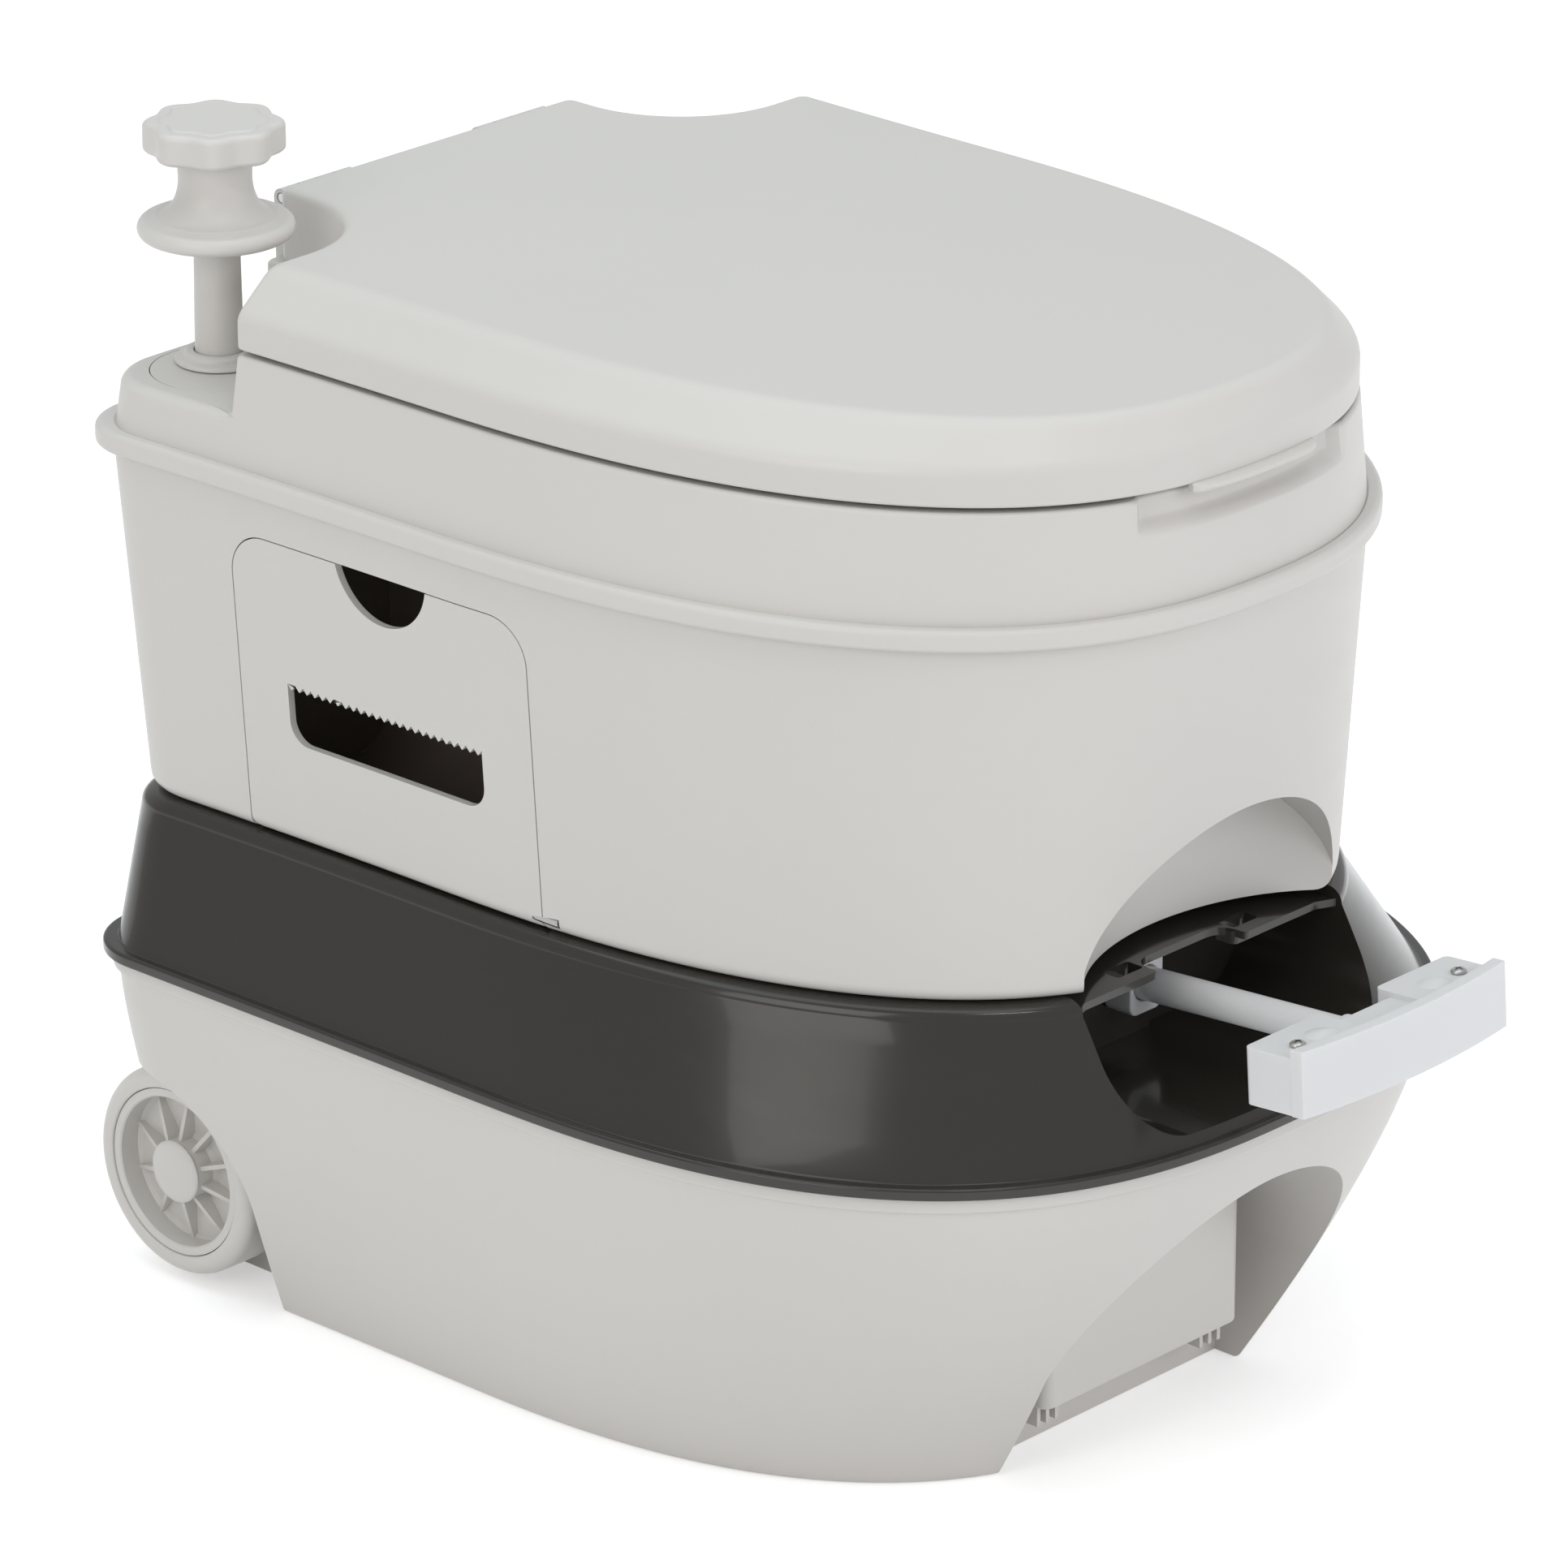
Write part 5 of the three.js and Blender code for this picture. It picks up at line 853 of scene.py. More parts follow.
# A bar about the door's pin, kept within the tank's outer form.
def onPin(low, high):
    return keep(cylinder(door.eye, low, high, door.pin), duplicate(outer))


# The recess under the tank takes the waste tank's step; it stays clear of the wall behind the arch.
under = slab(shrink(tankFootPlan, tank.under), 190, levels.floor)
cut(under, block(-tank.footHalf, tank.footHalf, -320, tank.footBack, 180, 220))
tankPiece = cut(tankSolid(), under)
hollow = ringSolid([outline(shrink(tankPlan(z), tank.wall), z) for z in (tank.floorTop, levels.tankHead + 6)])
cut(tankPiece, cut(hollow, archSpace(tank.wall)), archSpace(0.0))
softEdges(tankPiece, tank.archSoft, lambda x, y, z: abs(x) < 76 and y < -185 and z < 262, 4)
outer = tankSolid()
bossLow, bossHigh = door.low - door.gap, door.high + door.gap
join(tankPiece, onPin(bossLow - door.bossLength, bossLow), onPin(bossHigh, bossHigh + door.bossLength))
cut(
    tankPiece, prism(doorPath(door.gap, 190.0), -250, door.inner, "x"),
    cylinder(door.bore, door.low - door.bossLength, door.high + door.bossLength, door.pin),
    turned([
        (tank.outlet, 200), (tank.outlet, 210.4), (tank.outlet + 0.4, 211.2), (tank.outlet + 1.2, 211.6),
        (tank.outlet + 1.2, 216),
    ], (0, tank.outletY, 0), "z", 96, close=False),
)
finishPiece(tankPiece, "freshTank", "upper_unit", ["upper_tank_shell"], edge=0.45, angle=38)
print("tank", len(tankPiece.data.polygons))


# Paper door: a curved skin with a finger notch, a toothed slot to tear the paper on, and two hinge eyes
def slotPath():
    (start, end), low, high, corner = door.slotY, door.slotLow, door.slotHigh, door.slotCorner
    pitch = (end - start) / door.teeth
    teeth = []
    for tip in range(door.teeth):
        teeth += [(end - pitch * tip, high)] + [
            (end - pitch * (tip + share), high - door.tooth) for share in (0.46, 0.54)
        ]
    return np.concatenate([
        arc(start + corner, low + corner, corner, 180, 270, 14),
        arc(end - corner, low + corner, corner, -90, 0, 14), teeth, [(start, high)],
    ])


doorPiece = cut(duplicate(outer), tankSolid(door.wall))
keep(doorPiece, prism(doorPath(0, door.foot), -250, -80, "x"))
join(
    doorPiece, onPin(door.low + 0.5, door.low + door.eyeLength - 0.5),
    onPin(door.high - door.eyeLength + 0.5, door.high - 0.5),
)
cut(
    doorPiece, cylinder(door.notchRadius, -250, -80, (0, door.notchY, door.notchZ), "x", 96),
    prism(slotPath(), -250, -80, "x"), cylinder(door.bore, door.low - 5, door.high + 5, door.pin),
)
finishPiece(doorPiece, "paperDoor", "paper_door", ["paper_door"], edge=0.5, angle=38)
bpy.data.objects.remove(outer)
print("paper door", len(doorPiece.data.polygons))

# Paper compartment: a thin-walled box whose floor curves up into its back to cradle the roll
liner = Sizes(
    low=213.6, high=326.1, back=-84.0, front=-200.0, cradle=24.0, rise=30.0, shelf=34.0, wall=2.0,
    y=(-27.5, 126.5), gap=0.3,
)


# The section across the compartment, as (x, z), moved inward by a wall.
def linerPath(wall):
    low, high, back = liner.low + wall, liner.high - wall, liner.back - wall
    knee = low + liner.cradle
    return np.concatenate([
        [(liner.front, low)], bend((back - liner.cradle, low), (back, low), (back, knee)),
        bend((back, knee + liner.rise), (back, high), (back - liner.shelf, high)), [(liner.front, high)],
    ])


linerPiece = prism(linerPath(0), *liner.y, "y")
reach = tank.wall + liner.gap
keep(linerPiece, ringSolid([outline(shrink(tankPlan(z), reach), z) for z in (tank.floorTop, 345.0)]))
cut(linerPiece, prism(linerPath(liner.wall), liner.y[0] + liner.wall, liner.y[1] - liner.wall, "y"))
finishPiece(linerPiece, "paperBox", "upper_unit", ["paper_liner"], "inner_plastic", edge=0.4, angle=38)
print("paper compartment", len(linerPiece.data.polygons))

# Waste tank, dark upper shell: a lip over the lower shell, a sloping wall, a rounded shoulder and a low step
waste = Sizes(
    wall=3.2, lipBand=4.4, lipSoft=1.2, overhang=4.3, shoulderSoft=5.8, stepInset=26.0, recessHalf=72.0,
    recessFloor=152.0, recessCorner=(26.0, 30.0), recessBack=-163.0, plateTop=198.0, plateThick=3.0,
    plateFront=-205.0, plateHalf=64.0, plateSide=4.0, plateSeat=1.6, notchHalf=24.5, notchDepth=12.0,
    notchCorner=9.0, slotX=32.0, slotY=-195.0, slot=(7.0, 4.0), bossFoot=17.0, bossHead=24.0, bossProud=3.0,
    outlet=28.0, portFace=201.0, spoutBoss=19.3, spoutBore=13.8, ventBoss=12.0, ventBore=4.5,
)
portPlace, ventPlace = (0, 0, 173.5), (75.0, 0, 173.5)
valve = Sizes(y=-48.0, z=168.6, tilt=math.radians(4.2), stem=6.4, stemWay=6.9)
wallPlan = shrink(lipPlan, waste.overhang)
toMiddle = Matrix.Translation(Vector((0, -rearShift / 1000, 0)))


# From the slide's own frame, whose -Y is the rod's line, to the tank's.
def tilted(piece):
    place = Matrix.Translation(Vector((0, (valve.y + rearShift) / 1000, valve.z / 1000)))
    piece.data.transform(place @ Matrix.Rotation(-valve.tilt, 4, "X") @ toMiddle)
    return piece


def wastePlan(height):
    low, high = levels.lip + waste.lipBand, levels.shoulder - waste.shoulderSoft
    return mix(wallPlan, shoulderPlan, (height - low) / (high - low))


# The handle's recess, with quarter-ellipse corners at its floor, grown by a margin.
def recessSpace(margin):
    half, floor = waste.recessHalf + margin, waste.recessFloor - margin
    run, rise = (v + margin for v in waste.recessCorner)
    t = np.linspace(0, np.pi / 2, 28)
    right = np.stack([half - run + run * np.sin(t), floor + rise - rise * np.cos(t)], 1)
    path = np.concatenate([right, [(half, 240), (-half, 240)], right[::-1] * (-1, 1)])
    return prism(path, -320, waste.recessBack + margin, "y")


def wasteOuter():
    top, high = levels.lip + waste.lipBand, levels.shoulder - waste.shoulderSoft
    step = shrink(tankFootPlan, waste.stepInset)
    rings = softFoot(lipPlan, levels.lip, 0.5, 3) + softTop(lipPlan, top, waste.lipSoft, 5)
    rings += [
        outline(shrink(lipPlan, waste.overhang - run), top + 0.7 - rise)
        for run, rise in quarter(0.7, 0.7, 4)[::-1]
    ]
    rings += [outline(wastePlan(z), z) for z in np.linspace(top + 4, high, 7)]
    rings += softTop(shoulderPlan, levels.shoulder, waste.shoulderSoft, 9)[1:]
    rings += [outline(shrink(step, -0.6), levels.shoulder), outline(step, levels.shoulder + 0.4)]
    return ringSolid(rings + softTop(step, levels.plateau, 0.7, 4))


def wasteHollow():
    wall, high = waste.wall, levels.shoulder - waste.shoulderSoft
    step = shrink(tankFootPlan, waste.stepInset + wall)
    shoulder = shrink(shoulderPlan, wall)
    rings = [outline(shrink(wallPlan, wall), levels.lip + rise) for rise in (-3, 4)]
    rings.append(outline(shrink(wastePlan(high), wall), high))
    rings += [outline(shrink(shoulder, run), high + rise) for run, rise in quarter(5.0, 2.6, 5)[1:]]
    rings += [outline(step, levels.shoulder - wall), outline(step, levels.plateau - wall)]
    return cut(ringSolid(rings), recessSpace(wall))


# Plate over the recess: a shallow front with a round-cornered notch between two rimmed hook slots.
def platePiece():
    side, back = waste.recessHalf + waste.plateSeat, waste.recessBack + waste.plateSeat
    top, front, corner = waste.plateTop, waste.plateFront, waste.notchCorner
    half, deep = waste.notchHalf, waste.plateFront + waste.notchDepth
    plate = prism(bothSides(np.concatenate([
        [(side, back), (side, front - waste.plateSide), (waste.plateHalf, front)],
        bend((half + 2, front), (half, front), (half, front + 2), 6),
        bend((half, deep - corner), (half, deep), (half - corner, deep), 12),
    ])), top - waste.plateThick, top)

    def slots(margin, soft, low, high):
        wide, long = (v + margin for v in waste.slot)
        return [prism(rectanglePath(
            x - wide, x + wide, waste.slotY - long, waste.slotY + long, soft, soft, 6,
        ), low, high) for x in (-waste.slotX, waste.slotX)]

    return cut(join(plate, *slots(1.6, 2.6, top - 6, top - 1)), *slots(0, 1.5, 180, 210))


def wasteShell():
    wallY, face = wallPlan.rear, waste.portFace
    foot, head = waste.recessFloor - 1.6, waste.plateTop - 1.5
    bossPath = [
        (waste.bossFoot, foot), (waste.bossHead, head), (-waste.bossHead, head), (-waste.bossFoot, foot),
    ]
    piece = cut(wasteOuter(), wasteHollow(), recessSpace(0))
    softEdges(piece, 0.9, lambda x, y, z: abs(x) < 73 and y < -164 and 151 < z < 203.5, 3, 40)
    join(
        piece, platePiece(), prism(bossPath, waste.recessBack - waste.bossProud, waste.recessBack + 1.6, "y"),
        *[
            turned(
                [(radius, wallY - waste.wall), (radius, face - 0.8), (radius - 0.8, face)],
                place, "y", count, close=False,
            )
            for radius, place, count in ((waste.spoutBoss, portPlace, 72), (waste.ventBoss, ventPlace, 56))
        ],
    )
    outlet = turned([
        (waste.outlet, 190), (waste.outlet, 203.7), (waste.outlet + 0.3, 204.4), (waste.outlet + 1, 204.7),
        (waste.outlet + 1, 210),
    ], (0, valve.y, 0), "z", 96, close=False)
    return cut(
        piece, outlet, tilted(cylinder(valve.stemWay, -320, 0, (0, 0, 0), count=40)),
        cylinder(waste.spoutBore, wallY - 8, 260, portPlace, count=64),
        cylinder(waste.ventBore, wallY - 8, 260, ventPlace),
    )


wastePiece = wasteShell()
finishPiece(
    wastePiece, "wasteTopShell", "waste_tank", ["waste_tank_top"], "dark_plastic", edge=0.35, angle=38,
)
print("waste top", len(wastePiece.data.polygons))

# Waste tank, pale lower shell: a rim under the dark lip, a bowl-like taper, two wheel wells and a front arch
lower = Sizes(
    top=143.7, band=6.6, step=1.8, inset=2.6, sideTaper=37.0, frontTaper=65.0, rearTaper=6.0, widest=25.0,
    power=2.48, ease=1.3, floor=12.0, wall=3.2, skirt=7.0, archFoot=68.0, archHalf=75.0, archSide=50.0,
    archRise=69.0, archBack=-158.0, wellRadius=50.0, wellX=129.0, axleY=173.6, axleZ=46.0, channelHalf=6.0,
    channelEnd=123.0, axleBore=5.4, boxHalf=55.0, boxFront=-181.0, boxFoot=24.0, boxSoft=5.0,
    ribX=(41.0, 46.0, 51.0), rib=0.9, ribDrop=9.0,
)
axlePlace = (0, lower.axleY, lower.axleZ)
rimPlan = shrink(lipPlan, lower.inset)
grooveHeight = lower.top - lower.band
wallTop = grooveHeight - lower.step
floorPlan = Sizes(
    shrink(rimPlan, lower.sideTaper, lower.frontTaper, lower.rearTaper), widest=lower.widest,
    power=lower.power,
)


# The lower shell's plan: between the floor's and the rim's, easing upright towards the rim.
def lowerPlan(height, margin=0.0):
    share = (1 - min(height, wallTop) / wallTop) ** lower.ease
    return mix(shrink(rimPlan, lower.step + margin), shrink(floorPlan, margin), share)


# The arch in the front: half an ellipse on sides that lean in to the foot, grown by a margin.
def lowArch(margin, back):
    t = np.linspace(0, np.pi, 56)
    half, rise, foot = (v + margin for v in (lower.archHalf, lower.archRise, lower.archFoot))
    over = np.stack([half * np.cos(t), lower.archSide + rise * np.sin(t)], 1)
    path = np.concatenate([[(-foot, 0), (-foot, -8), (foot, -8), (foot, 0)], over])
    return prism(path, -320, back, "y")


# The boxed wall that stands forward in the arch, up to its roof, with short ribs hanging below both ends.
def archBox():
    half, front, foot, soft = lower.boxHalf, lower.boxFront, lower.boxFoot, lower.boxSoft
    path = np.concatenate([
        arc(half - soft, front + soft, soft, -90, 0, 10), [(half, -150.0), (-half, -150.0)],
        arc(-half + soft, front + soft, soft, 180, 270, 10),
    ])
    case = keep(prism(path, foot, 130), lowArch(1.5, -150))
    softEdges(case, 1.6, lambda x, y, z: z < foot + 1, 3, 40)
    return join(case, *[
        block(x - lower.rib, x + lower.rib, front + 7, -154, foot - lower.ribDrop, foot + 3)
        for sign in (-1, 1) for x in (sign * place for place in lower.ribX)
    ])


# Room for both wheels, open to the side, to the rear and below.
def wheelWells(margin):
    radius = lower.wellRadius + margin
    return [
        join(
            cylinder(radius, *ends, axlePlace, "x", 120),
            block(*ends, lower.axleY - radius, 300, -20, lower.axleZ),
        ) for ends in (onSide(sign, lower.wellX - margin, 260) for sign in (-1, 1))
    ]


# The channel under the floor in which the axle lies.
def channel(margin):
    end, half = lower.channelEnd - margin, lower.channelHalf + margin
    return block(-end, end, lower.axleY - half, lower.axleY + half, -20, lower.axleZ + half)


def lowerShell():
    wall, skirt, back = lower.wall, lower.skirt, lower.archBack
    rings = [outline(shrink(lowerPlan(0), 1.4), 0), outline(shrink(lowerPlan(0.5), 0.4), 0.5)]
    rings += [outline(lowerPlan(z), z) for z in (1.6, *np.linspace(6, wallTop, 20))]
    rings.append(outline(shrink(rimPlan, lower.step - 0.1), grooveHeight - 0.2))
    rings += softFoot(rimPlan, grooveHeight + 0.2, 1.6, 5) + softTop(rimPlan, lower.top, 0.6, 3)
    piece = ringSolid(rings)
    rings = [outline(lowerPlan(z, wall), z) for z in np.linspace(lower.floor, wallTop, 12)]
    rings.append(outline(shrink(rimPlan, lower.step + wall), lower.top + 5))
    hollow = cut(ringSolid(rings), *wheelWells(wall), lowArch(wall, back + wall), channel(wall))
    under = slab(shrink(floorPlan, skirt), -5, lower.floor - wall)
    cut(under, *wheelWells(skirt), lowArch(skirt, back + skirt))
    cut(piece, hollow, under, *wheelWells(0), lowArch(0, back))
    softEdges(piece, 2.0, lambda x, y, z: abs(x) < 78 and y < back - 6 and 1.2 < z < 122, 4, 24)
    join(piece, archBox())
    return cut(piece, channel(0), cylinder(lower.axleBore, -260, 260, axlePlace, "x", 40))


lowerPiece = lowerShell()
finishPiece(lowerPiece, "wasteBottomShell", "waste_tank", ["waste_tank_bottom"], edge=0.5, angle=38)
print("waste bottom", len(lowerPiece.data.polygons))

# Slide handle: a bowed front plate, a box behind each half, a web and a socket between them, and two screws
grip = Sizes(
    front=253.5, bulge=5.0, half=57.0, thick=5.5, foot=-8.0, height=25.2, top=13.7, depth=27.0,
    boxInner=16.0, boxEnd=56.5, boxSoft=2.4, wall=3.0, webDepth=20.0, bumpX=31.4, bumpRadius=7.0,
    bumpHeight=1.8, screwX=45.0, screwU=241.7, screw=3.0, shank=1.5, socketWall=1.4, socketProud=1.5,
    rodStart=102.3, rodEnd=247.7, soft=1.3,
)


def gripFront():
    x = np.linspace(-grip.half, grip.half, 41)
    bow = -(grip.front + grip.bulge * (1 - (x / grip.half) ** 2))
    path = np.concatenate([np.stack([x, bow], 1), np.stack([x, bow + grip.thick], 1)[::-1]])
    return prism(path, grip.foot, grip.foot + grip.height)


# A dome of a sine profile on the box's top.
def gripBump(x):
    t = np.linspace(0, 1, 10)
    dome = zip(grip.bumpRadius * (1 - t), grip.top + grip.bumpHeight * np.sin(t * np.pi / 2))
    return turned([(grip.bumpRadius, grip.top - 1.0), *dome], (x, -grip.screwU, 0), "z", 40, close=False)


def handleBar():
    front, back = -grip.front, -(grip.front - grip.depth)
    foot, top, wall, hole = grip.foot, grip.top, grip.wall, grip.shank + 0.3
    bar = gripFront()
    for sign in (-1, 1):
        ends = onSide(sign, grip.boxInner, grip.boxEnd)
        box = rectanglePath(*ends, front + 0.01, back, 0.5, grip.boxSoft, 8)
        join(bar, prism(box, foot, top))
    web = grip.boxInner + 0.5
    join(
        bar, block(-web, web, front, front + grip.webDepth, foot, top - 2.2),
        cylinder(valve.stem + grip.socketWall, front, back + grip.socketProud, (0, 0, 0), count=48),
    )
    for sign in (-1, 1):
        room = onSide(sign, grip.boxInner + wall, grip.boxEnd - wall)
        cut(bar, block(*room, front + grip.thick, back - wall, foot - 5, top - wall))
    join(bar, *[gripBump(sign * grip.bumpX) for sign in (-1, 1)])
    holes = [
        turned(
            [(hole, foot - 5), (hole, top - 0.4), (hole + 0.6, top), (hole + 0.6, top + 5)],
            (sign * grip.screwX, -grip.screwU, 0), "z", 28, close=False,
        ) for sign in (-1, 1)
    ]
    return cut(bar, *holes, cylinder(valve.stem + 0.3, front + grip.thick, 0, (0, 0, 0), count=48))


bar = tilted(handleBar())
finishPiece(
    bar, "handleGrip", "valve_handle", ["handle_bar"], "white_plastic", edge=grip.soft, angle=40, segments=3,
)
handleRod = tilted(turned([
    (valve.stem - 0.6, -grip.rodEnd), (valve.stem, -grip.rodEnd + 0.6), (valve.stem, -grip.rodStart - 0.6),
    (valve.stem - 0.6, -grip.rodStart),
], (0, 0, 0), "y", 56, close=False))
finishPiece(handleRod, "handleRod", "valve_handle", ["handle_rod"], "white_plastic", angle=50)


# A screw with a domed head and a cross cut into it.
def handleScrew(sign):
    top, radius, shank = grip.top + 0.3, grip.screw, grip.shank
    dome = [(radius * math.cos(a), top + 0.5 + 1.1 * math.sin(a)) for a in np.linspace(0, 1, 8) * np.pi / 2]
    profile = [(0.1, top - 9.3), (shank, top - 8), (shank, top), (radius, top), *dome]
    screw = turned(profile, (0, 0, 0), "z", 36, close=False)
    for wide, long in ((0.35, 1.9), (1.9, 0.35)):
        cut(screw, block(-wide, wide, -long, long, top + 0.75, top + 4))
    screw.data.transform(Matrix.Translation(Vector((sign * grip.screwX, -grip.screwU, 0)) / 1000))
    return tilted(screw)


for sign, side in ((-1, "left"), (1, "right")):
    nodes = ["handle_screw_" + side]
    finishPiece(handleScrew(sign), "handleScrew." + side, "valve_handle", nodes, "steel", angle=50)

# Guide block that the rod slides through, in front of the recess's back wall
guide = Sizes(half=9.0, low=166.6, high=190.0, corner=4.0, y=(-179.3, -166.3))
guidePiece = prism(rectanglePath(-guide.half, guide.half, guide.low, guide.high, guide.corner), *guide.y, "y")
cut(guidePiece, tilted(cylinder(valve.stemWay, -320, 0, (0, 0, 0), count=56)))
finishPiece(
    guidePiece, "rodGuide", "waste_tank", ["rod_guide"], "white_plastic", edge=0.8, angle=40, segments=3,
)
print("handle", len(bar.data.polygons))

# Wheels: a broad ring, a rim with a thin web and ten ribs, and a hub with a domed cap
wheel = Sizes(
    x=147.0, radius=42.0, half=13.0, inner=34.0, shoulder=5.0, rim=33.7, rimThick=3.5, flat=1.0, web=1.5,
    hub=12.0, reach=10.7, bore=5.4, ribs=10, rib=0.9, cap=12.6, capHeight=2.4,
)


# The ring's profile: a flat tread between two quarter-ellipse shoulders, with a small step at its inner edge.
def tyreProfile():
    half, soft, inner = wheel.half, wheel.shoulder, wheel.inner
    upper = [
        (wheel.radius - soft + soft * math.cos(a), half - soft + soft * math.sin(a))
        for a in np.linspace(0, np.pi / 2, 9)
    ]
    lowerHalf = [(radius, -height) for radius, height in reversed(upper)]
    edge = [(inner + 0.9, half), (inner + 0.3, half - 0.3), (inner, half - 0.9), (inner, -half + 0.9)]
    return lowerHalf + upper + edge + [(inner + 0.9, -half)]


def wheelRimPiece():
    half, flat, web, hub, reach, bore = wheel.half, wheel.flat, wheel.web, wheel.hub, wheel.reach, wheel.bore
    outer, inner = wheel.rim, wheel.rim - wheel.rimThick
    piece = turned([
        (bore, -half), (hub - 0.6, -half), (hub, -half + 0.6), (hub, -web - 1.5), (hub + 1.5, -web),
        (inner - 1.5, -web), (inner, -web - 1.5), (inner, flat - half + 0.5), (inner + 0.5, flat - half),
        (outer, flat - half), (outer, half - flat), (inner + 0.6, half - flat), (inner, half - flat - 0.6),
        (inner, web + 1.5), (inner - 1.5, web), (hub + 1.5, web), (hub, web + 1.5), (hub, reach - 0.6),
        (hub - 0.6, reach), (bore + 0.4, reach), (bore, reach - 0.4), (bore, -half + 0.4),
    ], middle, "z", 96)
    gusset = [(hub - 1.5, 0), (inner + 1.7, 0), (inner + 1.7, web * 2), (hub - 1.5, reach - web)]
    for spoke in range(wheel.ribs):
        rib = prism(gusset, -wheel.rib, wheel.rib, "y")
        rib.data.transform(toMiddle)
        rib.data.transform(Matrix.Rotation(2 * math.pi * spoke / wheel.ribs, 4, "Z"))
        join(piece, rib)
    return piece


def hubCapPiece():
    foot, cap = wheel.reach + 0.3, wheel.cap
    dome = [
        (cap * math.cos(a) ** 0.7, foot + 0.4 + (wheel.capHeight - 0.4) * math.sin(a))
        for a in np.linspace(0, np.pi / 2, 9)[:-1]
    ]
    profile = [(0.1, foot), (cap - 0.3, foot), (cap, foot + 0.3), *dome, (0.1, foot + wheel.capHeight)]
    return turned(profile, middle, "z", 64, close=False)


# From the wheel's own frame, whose +Z points away from the toilet, to its place at one side.
def wheelPlace(piece, sign):
    centre = Vector((sign * wheel.x, lower.axleY + rearShift, lower.axleZ)) / 1000
    piece.data.transform(Matrix.Translation(centre) @ Matrix.Rotation(sign * math.pi / 2, 4, "Y"))
    return piece


for sign, side in ((-1, "left"), (1, "right")):
    onBody = "wheel_" + side
    tyre = wheelPlace(turned(tyreProfile(), middle, "z", 120), sign)
    finishPiece(tyre, "wheelRing." + side, onBody, ["tyre_" + side], angle=50)
    rim = wheelPlace(wheelRimPiece(), sign)
    finishPiece(rim, "wheelRim." + side, onBody, ["wheel_rim_" + side], edge=0.25, angle=40)
    finishPiece(wheelPlace(hubCapPiece(), sign), "hubCap." + side, onBody, ["hub_cap_" + side], angle=50)
print("wheels", len(rim.data.polygons))

# Emptying spout on the rear: a flanged elbow that swivels, with a ribbed screw cap on its mouth
spout = Sizes(
    root=201.3, flange=19.0, flangeThick=3.5, bend=18.0, reach=36.0, radius=15.0, wall=2.2, spigot=13.2,
    spigotRoot=190.7, capRadius=18.5, capHeight=13.0, ribs=12, ribDeep=1.4, capWall=2.2, ceiling=2.1,
)
flangeY = spout.root + spout.flangeThick
mouthY = flangeY + spout.bend


# A round tube along a level path: circles across its direction, outside from one end, back along the inside.
def tubeAlong(path, outer, inner, count=64):
    along = np.gradient(path, axis=0)
    along /= np.linalg.norm(along, axis=1)[:, None]
    across = np.cross(along, (0, 0, 1))
    t = np.linspace(0, 2 * np.pi, count, endpoint=False)
    return ringSolid([
        place + radius * (np.outer(np.cos(t), side) + np.outer(np.sin(t), (0, 0, 1)))
        for radius, order in ((outer, 1), (inner, -1)) for place, side in zip(path[::order], across[::order])
    ], loop=True)


def spoutPiece():
    root, radius, flange, spigot = spout.root, spout.radius, spout.flange, spout.spigot
    turn = arc(spout.bend, flangeY, spout.bend, 180, 90, 17)
    path = atHeight(np.concatenate([[(0, root + 0.4)], turn, [(spout.reach, mouthY)]]), portPlace[2])
    tube = tubeAlong(path, radius, radius - spout.wall)
    within, bore = radius - spout.wall / 2, spigot - spout.wall
    return join(turned([
        (within, root), (flange - 0.6, root), (flange, root + 0.6), (flange, flangeY - 0.8),
        (flange - 0.8, flangeY), (within, flangeY),
    ], portPlace, "y", 72), tube, turned([
        (bore, spout.spigotRoot), (spigot, spout.spigotRoot), (spigot, root + 2), (bore, flangeY),
    ], portPlace, "y", 64))


elbow = spoutPiece()
finishPiece(elbow, "spoutElbow", "spout", ["spout_elbow"], "dark_plastic", edge=0.3, angle=40)


# A screw cap's side: its radius swells where the cosine of many turns is high, so that ribs stand apart.
def ribbedRing(radius, height, ribs, deep, place, axis, count=240):
    t = np.linspace(0, 2 * np.pi, count, endpoint=False)
    reach = radius + deep * eased(1.7 * (np.cos(ribs * t) - 0.25))
    level, across, up = np.full(count, float(height)), reach * np.cos(t), reach * np.sin(t)
    return np.stack((level, across, up) if axis == "x" else (across, up, level), 1) + place


def screwCap(outer, inner, foot, ceiling, top, ribs, place, axis):
    deep = spout.ribDeep
    return ringSolid([ribbedRing(radius, height, ribs, swell, place, axis) for radius, height, swell in (
        (0.1, ceiling, 0), (inner, ceiling, 0), (inner, foot + 0.5, 0), (inner + 0.5, foot, 0),
        (outer - 0.5, foot, 0), (outer, foot + 0.6, 0), (outer, foot + 1.6, 0), (outer, foot + 2.6, deep),
        (outer, top - 2.2, deep), (outer - 0.35, top - 1.0, deep * 0.8), (outer - 1.1, top - 0.3, 0.6),
        (outer - 2.2, top, 0), (0.1, top, 0),
    )])


capTop = spout.ceiling + spout.capWall
spoutCap = screwCap(
    spout.capRadius, spout.radius + 0.5, capTop - spout.capHeight, spout.ceiling, capTop, spout.ribs,
    (spout.reach, mouthY, portPlace[2]), "x",
)
finishPiece(spoutCap, "spoutScrewCap", "spout_cap", ["spout_cap"], "dark_plastic", angle=40)

